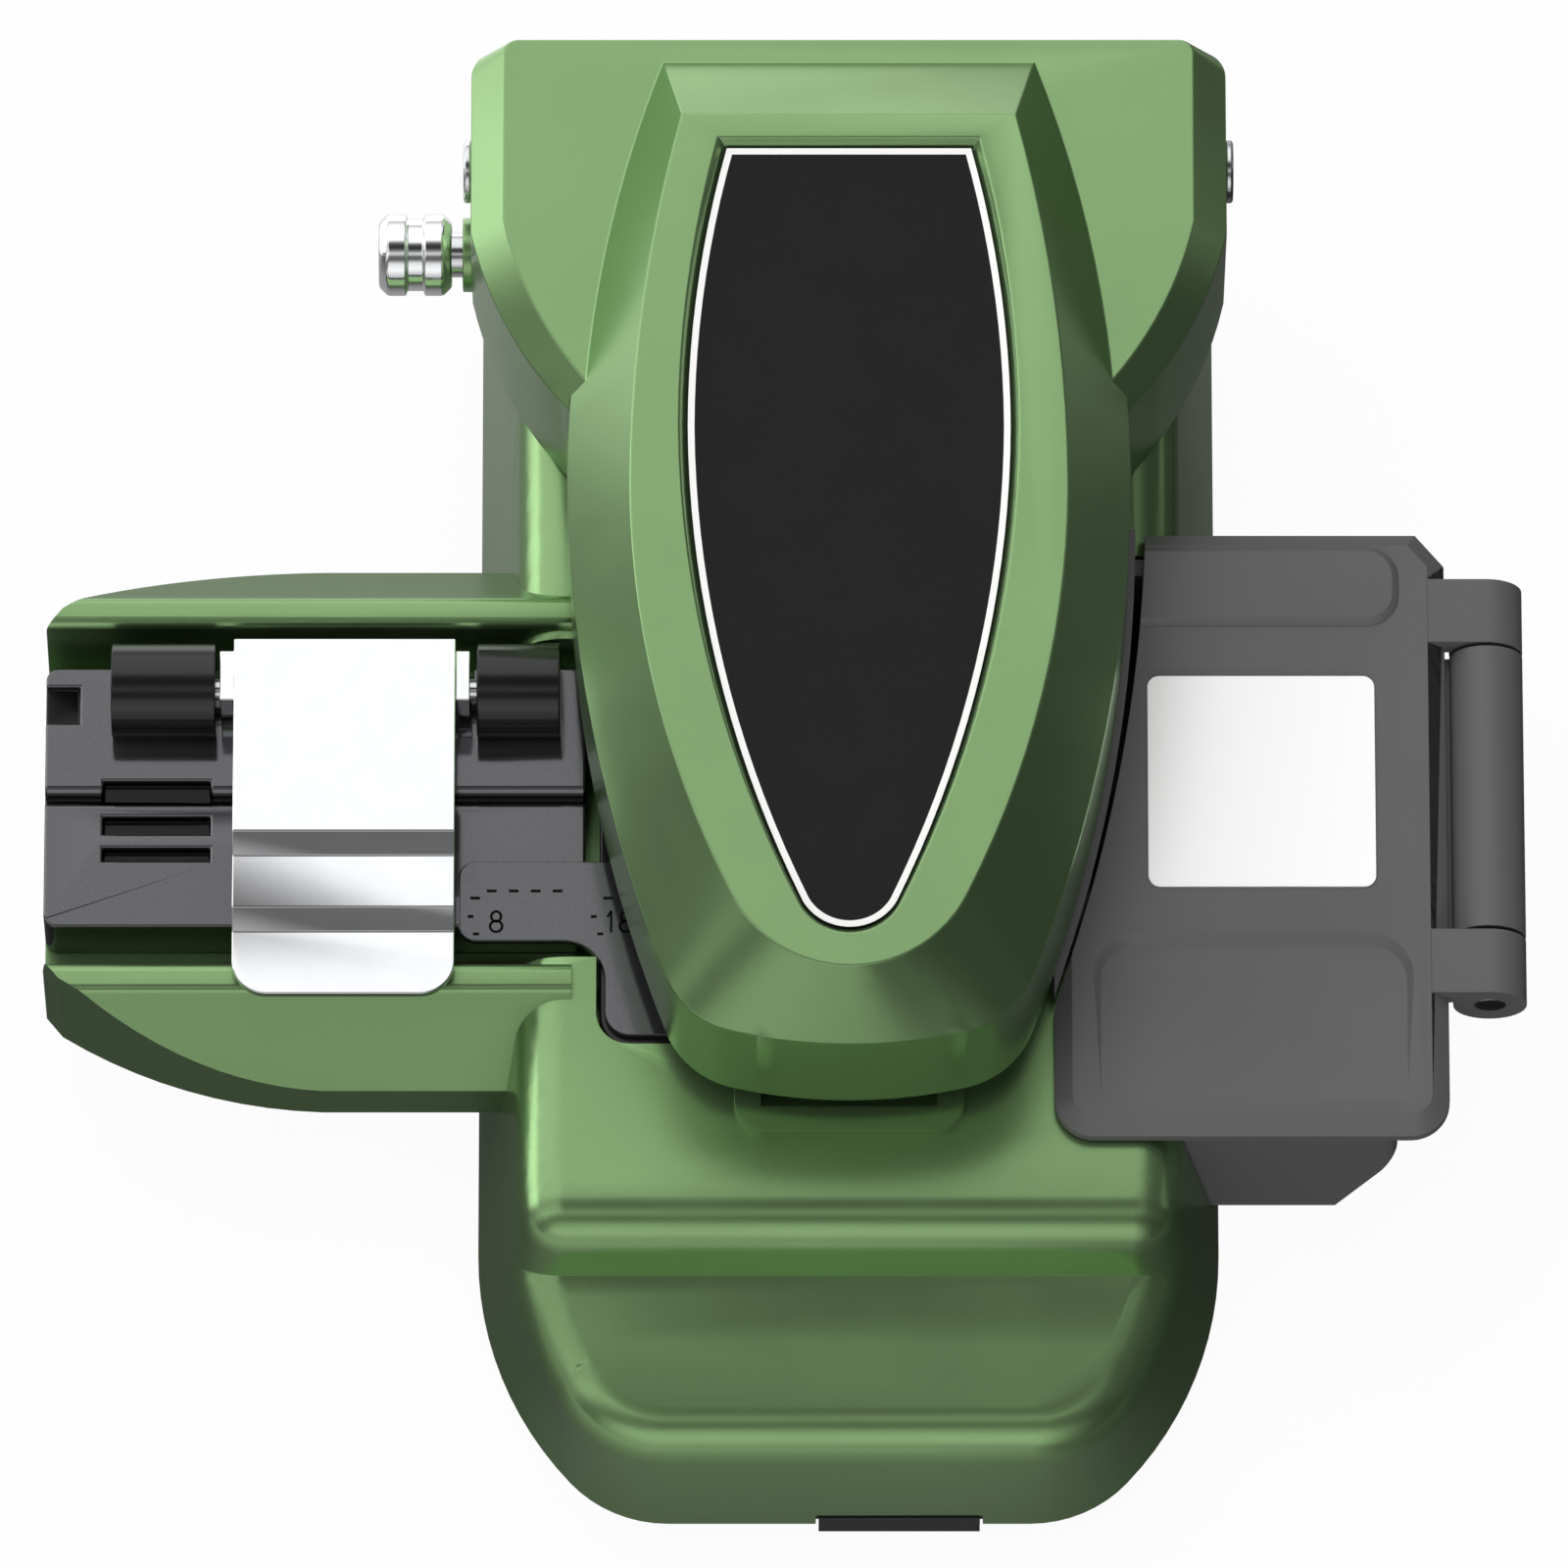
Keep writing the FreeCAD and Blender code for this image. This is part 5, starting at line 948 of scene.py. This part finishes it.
@dataclass(frozen=True)
class View:
    """Long lens that looks down on the front of the cleaver, with across_mm filling the frame at the aim."""

    lens_mm: float = 500.0
    sensor_mm: float = 36.0
    across_mm: float = 142.9
    aim_mm: Triple = (-5.9, -1.3, 28.0)
    elevation_deg: float = 68.2
    sight_m: float = 50.0

    def build(self) -> None:
        """Place the camera."""
        data = bpy.data.cameras.new("view")
        data.lens, data.sensor_width, data.clip_end = self.lens_mm, self.sensor_mm, self.sight_m
        camera = bpy.data.objects.new("view", data)
        bpy.context.collection.objects.link(camera)
        distance = self.across_mm / self.sensor_mm * self.lens_mm * MM
        up = math.radians(self.elevation_deg)
        away = Vector((0.0, -math.cos(up), math.sin(up)))
        turn = (-away).to_track_quat("-Z", "Y").to_matrix()
        camera.matrix_world = Matrix.Translation(Vector(self.aim_mm) * MM + away * distance) @ turn.to_4x4()
        bpy.context.scene.camera = camera


@dataclass(frozen=True)
class SoftLamp:
    """Square soft lamp that faces the cleaver, and is mirrored in gloss only where that is asked for."""

    name: str
    place_m: Triple
    side_m: float
    watts: float
    mirrored: bool = False

    def build(self) -> None:
        """Hang the lamp."""
        data = bpy.data.lights.new(self.name, "AREA")
        data.size, data.energy = self.side_m, self.watts
        lamp = bpy.data.objects.new(self.name, data)
        lamp.visible_glossy = self.mirrored
        lamp.location = self.place_m
        lamp.rotation_euler = Vector(self.place_m).to_track_quat("Z", "Y").to_euler()
        bpy.context.collection.objects.link(lamp)


@dataclass(frozen=True)
class Room:
    """Even white room whose light falls off to the right, in front and towards the floor.

    Each run of levels follows one axis of the direction looked in, with -1 to 1 taken as 0 to 1, and the
    three are multiplied. The camera sees plain white.
    """

    gain: float = 1.75
    left_to_right: tuple[Point, ...] = (
        (0.0, 0.6), (0.12, 0.95), (0.3, 1.0), (0.55, 0.9), (0.66, 0.5), (0.8, 0.12), (1.0, 0.04)
    )
    front_to_back: tuple[Point, ...] = (
        (0.0, 0.75), (0.12, 0.6), (0.2, 0.1), (0.27, 0.12), (0.36, 0.75),
        (0.46, 0.5), (0.58, 0.4), (0.66, 0.85), (0.8, 1.0), (1.0, 0.8),
    )
    low_to_high: tuple[Point, ...] = (
        (0.0, 0.1), (0.5, 0.4), (0.7, 1.0), (0.968, 0.82), (0.986, 0.35), (1.0, 0.05)
    )

    def build(self) -> None:
        """Make the room and its white for the camera."""
        world = bpy.data.worlds.new("room")
        bpy.context.scene.world = world
        world.use_nodes = True
        tree = world.node_tree
        tree.nodes.clear()
        place = add_node(tree, "ShaderNodeTexCoord")
        heading = add_node(tree, "ShaderNodeSeparateXYZ", {"Vector": place.outputs["Generated"]})
        runs = {"X": self.left_to_right, "Y": self.front_to_back, "Z": self.low_to_high}
        across, along, height = (
            grey_ramp(tree, spread_over(tree, heading.outputs[axis], taken=(-1.0, 1.0)), levels)
            for axis, levels in runs.items()
        )
        level = product(tree, product(tree, product(tree, across, along), height), self.gain)
        soft = add_node(tree, "ShaderNodeBackground", {"Color": (1, 1, 1, 1), "Strength": level})
        white = add_node(tree, "ShaderNodeBackground", {"Color": (1, 1, 1, 1), "Strength": 1.0})
        ray = add_node(tree, "ShaderNodeLightPath")
        mixed = add_node(
            tree, "ShaderNodeMixShader",
            {0: ray.outputs["Is Camera Ray"], 1: soft.outputs["Background"], 2: white.outputs["Background"]},
        )
        output = add_node(tree, "ShaderNodeOutputWorld")
        tree.links.new(mixed.outputs["Shader"], output.inputs["Surface"])


@dataclass(frozen=True)
class Table:
    """White laminate table.

    The camera takes seen_share of its view from an even glow of seen_glow, and the rest from the matt top,
    which keeps the shadow: together they come to white. Gloss sees a glow that varies with the place on the
    table, from -reach_m to reach_m taken as 0 to 1. This glow is painted light and shade: dim round the
    cleaver and to its right as painted shadow, and bright behind it, so that the walls of the cleaver mirror
    that painted shade.
    """

    side_m: float = 6.0
    drop_mm: float = 0.05
    seen_share: float = 0.85
    seen_glow: float = 1.12
    matt: Colour = (0.26, 0.26, 0.26, 1)
    reach_m: float = 0.2
    # Levels of the glow that gloss sees: painted shadow, low round the cleaver and to its right, and painted
    # light, high behind it.
    left_to_right: tuple[Point, ...] = (
        (0.0, 1.0), (0.4, 1.0), (0.53, 1.0), (0.6, 0.28), (0.68, 0.12), (0.8, 0.3), (1.0, 0.06)
    )
    front_to_back: tuple[Point, ...] = (
        (0.0, 0.8), (0.28, 0.4), (0.37, 0.08), (0.5, 0.06), (0.57, 0.3), (0.66, 0.4), (0.76, 1.6), (1.0, 1.6)
    )

    def build(self) -> None:
        """Lay the table just under the cleaver's mat."""
        half = self.side_m / 2
        sheet = flat_sheet([(-half, -half), (half, -half), (half, half), (-half, half)], -self.drop_mm * MM)
        mesh = finish_mesh(sheet, "table")
        mesh.materials.append(self.laminate())
        table = bpy.data.objects.new("table", mesh)
        bpy.context.collection.objects.link(table)

    def laminate(self) -> bpy.types.Material:
        """The table's material.

        Returns:
            A mix of matt white and glow, by the kind of ray that looks at it.
        """
        material, output = new_material("table_white_laminate")
        tree = material.node_tree
        ray = add_node(tree, "ShaderNodeLightPath")
        mirrored = ray.outputs["Is Glossy Ray"]
        strength = add_node(
            tree, "ShaderNodeMix", {0: mirrored, 2: self.seen_glow, 3: self.mirrored_glow_with_painted_shadow(tree)}
        ).outputs[0]
        share = add_node(
            tree, "ShaderNodeMath", {0: ray.outputs["Is Camera Ray"], 1: self.seen_share, 2: mirrored},
            operation="MULTIPLY_ADD",
        ).outputs["Value"]
        matt = add_node(tree, "ShaderNodeBsdfDiffuse", {"Color": self.matt})
        glow = add_node(tree, "ShaderNodeEmission", {"Color": (1, 1, 1, 1), "Strength": strength})
        mixed = add_node(
            tree, "ShaderNodeMixShader", {0: share, 1: matt.outputs["BSDF"], 2: glow.outputs["Emission"]}
        )
        tree.links.new(mixed.outputs["Shader"], output.inputs["Surface"])
        return material

    def mirrored_glow_with_painted_shadow(self, tree: bpy.types.NodeTree) -> bpy.types.NodeSocket:
        """The glow that gloss sees at each place on the table, with painted shadow round the cleaver."""
        place = add_node(tree, "ShaderNodeTexCoord")
        spot = add_node(tree, "ShaderNodeSeparateXYZ", {"Vector": place.outputs["Object"]})
        ends = (-self.reach_m, self.reach_m)
        across, along = (
            grey_ramp(tree, spread_over(tree, spot.outputs[axis], taken=ends), levels)
            for axis, levels in (("X", self.left_to_right), ("Y", self.front_to_back))
        )
        return product(tree, across, along)


@dataclass(frozen=True)
class Studio:
    """Camera, soft lamps, white room and table."""

    def build(self) -> None:
        """Set up the studio round the cleaver."""
        for part in (
            View(),
            SoftLamp("overhead", place_m=(-0.25, 0.35, 1.6), side_m=1.2, watts=12.0),
            SoftLamp("left_strip", place_m=(-1.6, 0.5, 0.35), side_m=0.7, watts=3.0, mirrored=True),
            SoftLamp("right_strip", place_m=(1.6, 0.4, 0.35), side_m=0.5, watts=0.3, mirrored=True),
            SoftLamp("front_fill", place_m=(0.4, -1.5, 0.5), side_m=1.0, watts=9.0),
            Room(),
            Table(),
        ):
            part.build()
        bpy.context.scene.view_settings.view_transform = "Standard"


def main() -> None:
    """Build the cleaver group by group, then the studio."""
    logging.basicConfig(level=logging.INFO, format="%(name)s %(message)s")
    for group in (
        BaseCasting(), Arm(), FibreHolder(), BladeCarriage(), WasteBox(), InsetBorder(), ScaleMarks(),
        Studio(),
    ):
        group.build()
        log.info("%s done", type(group).__name__)


if __name__ == "__main__":
    main()
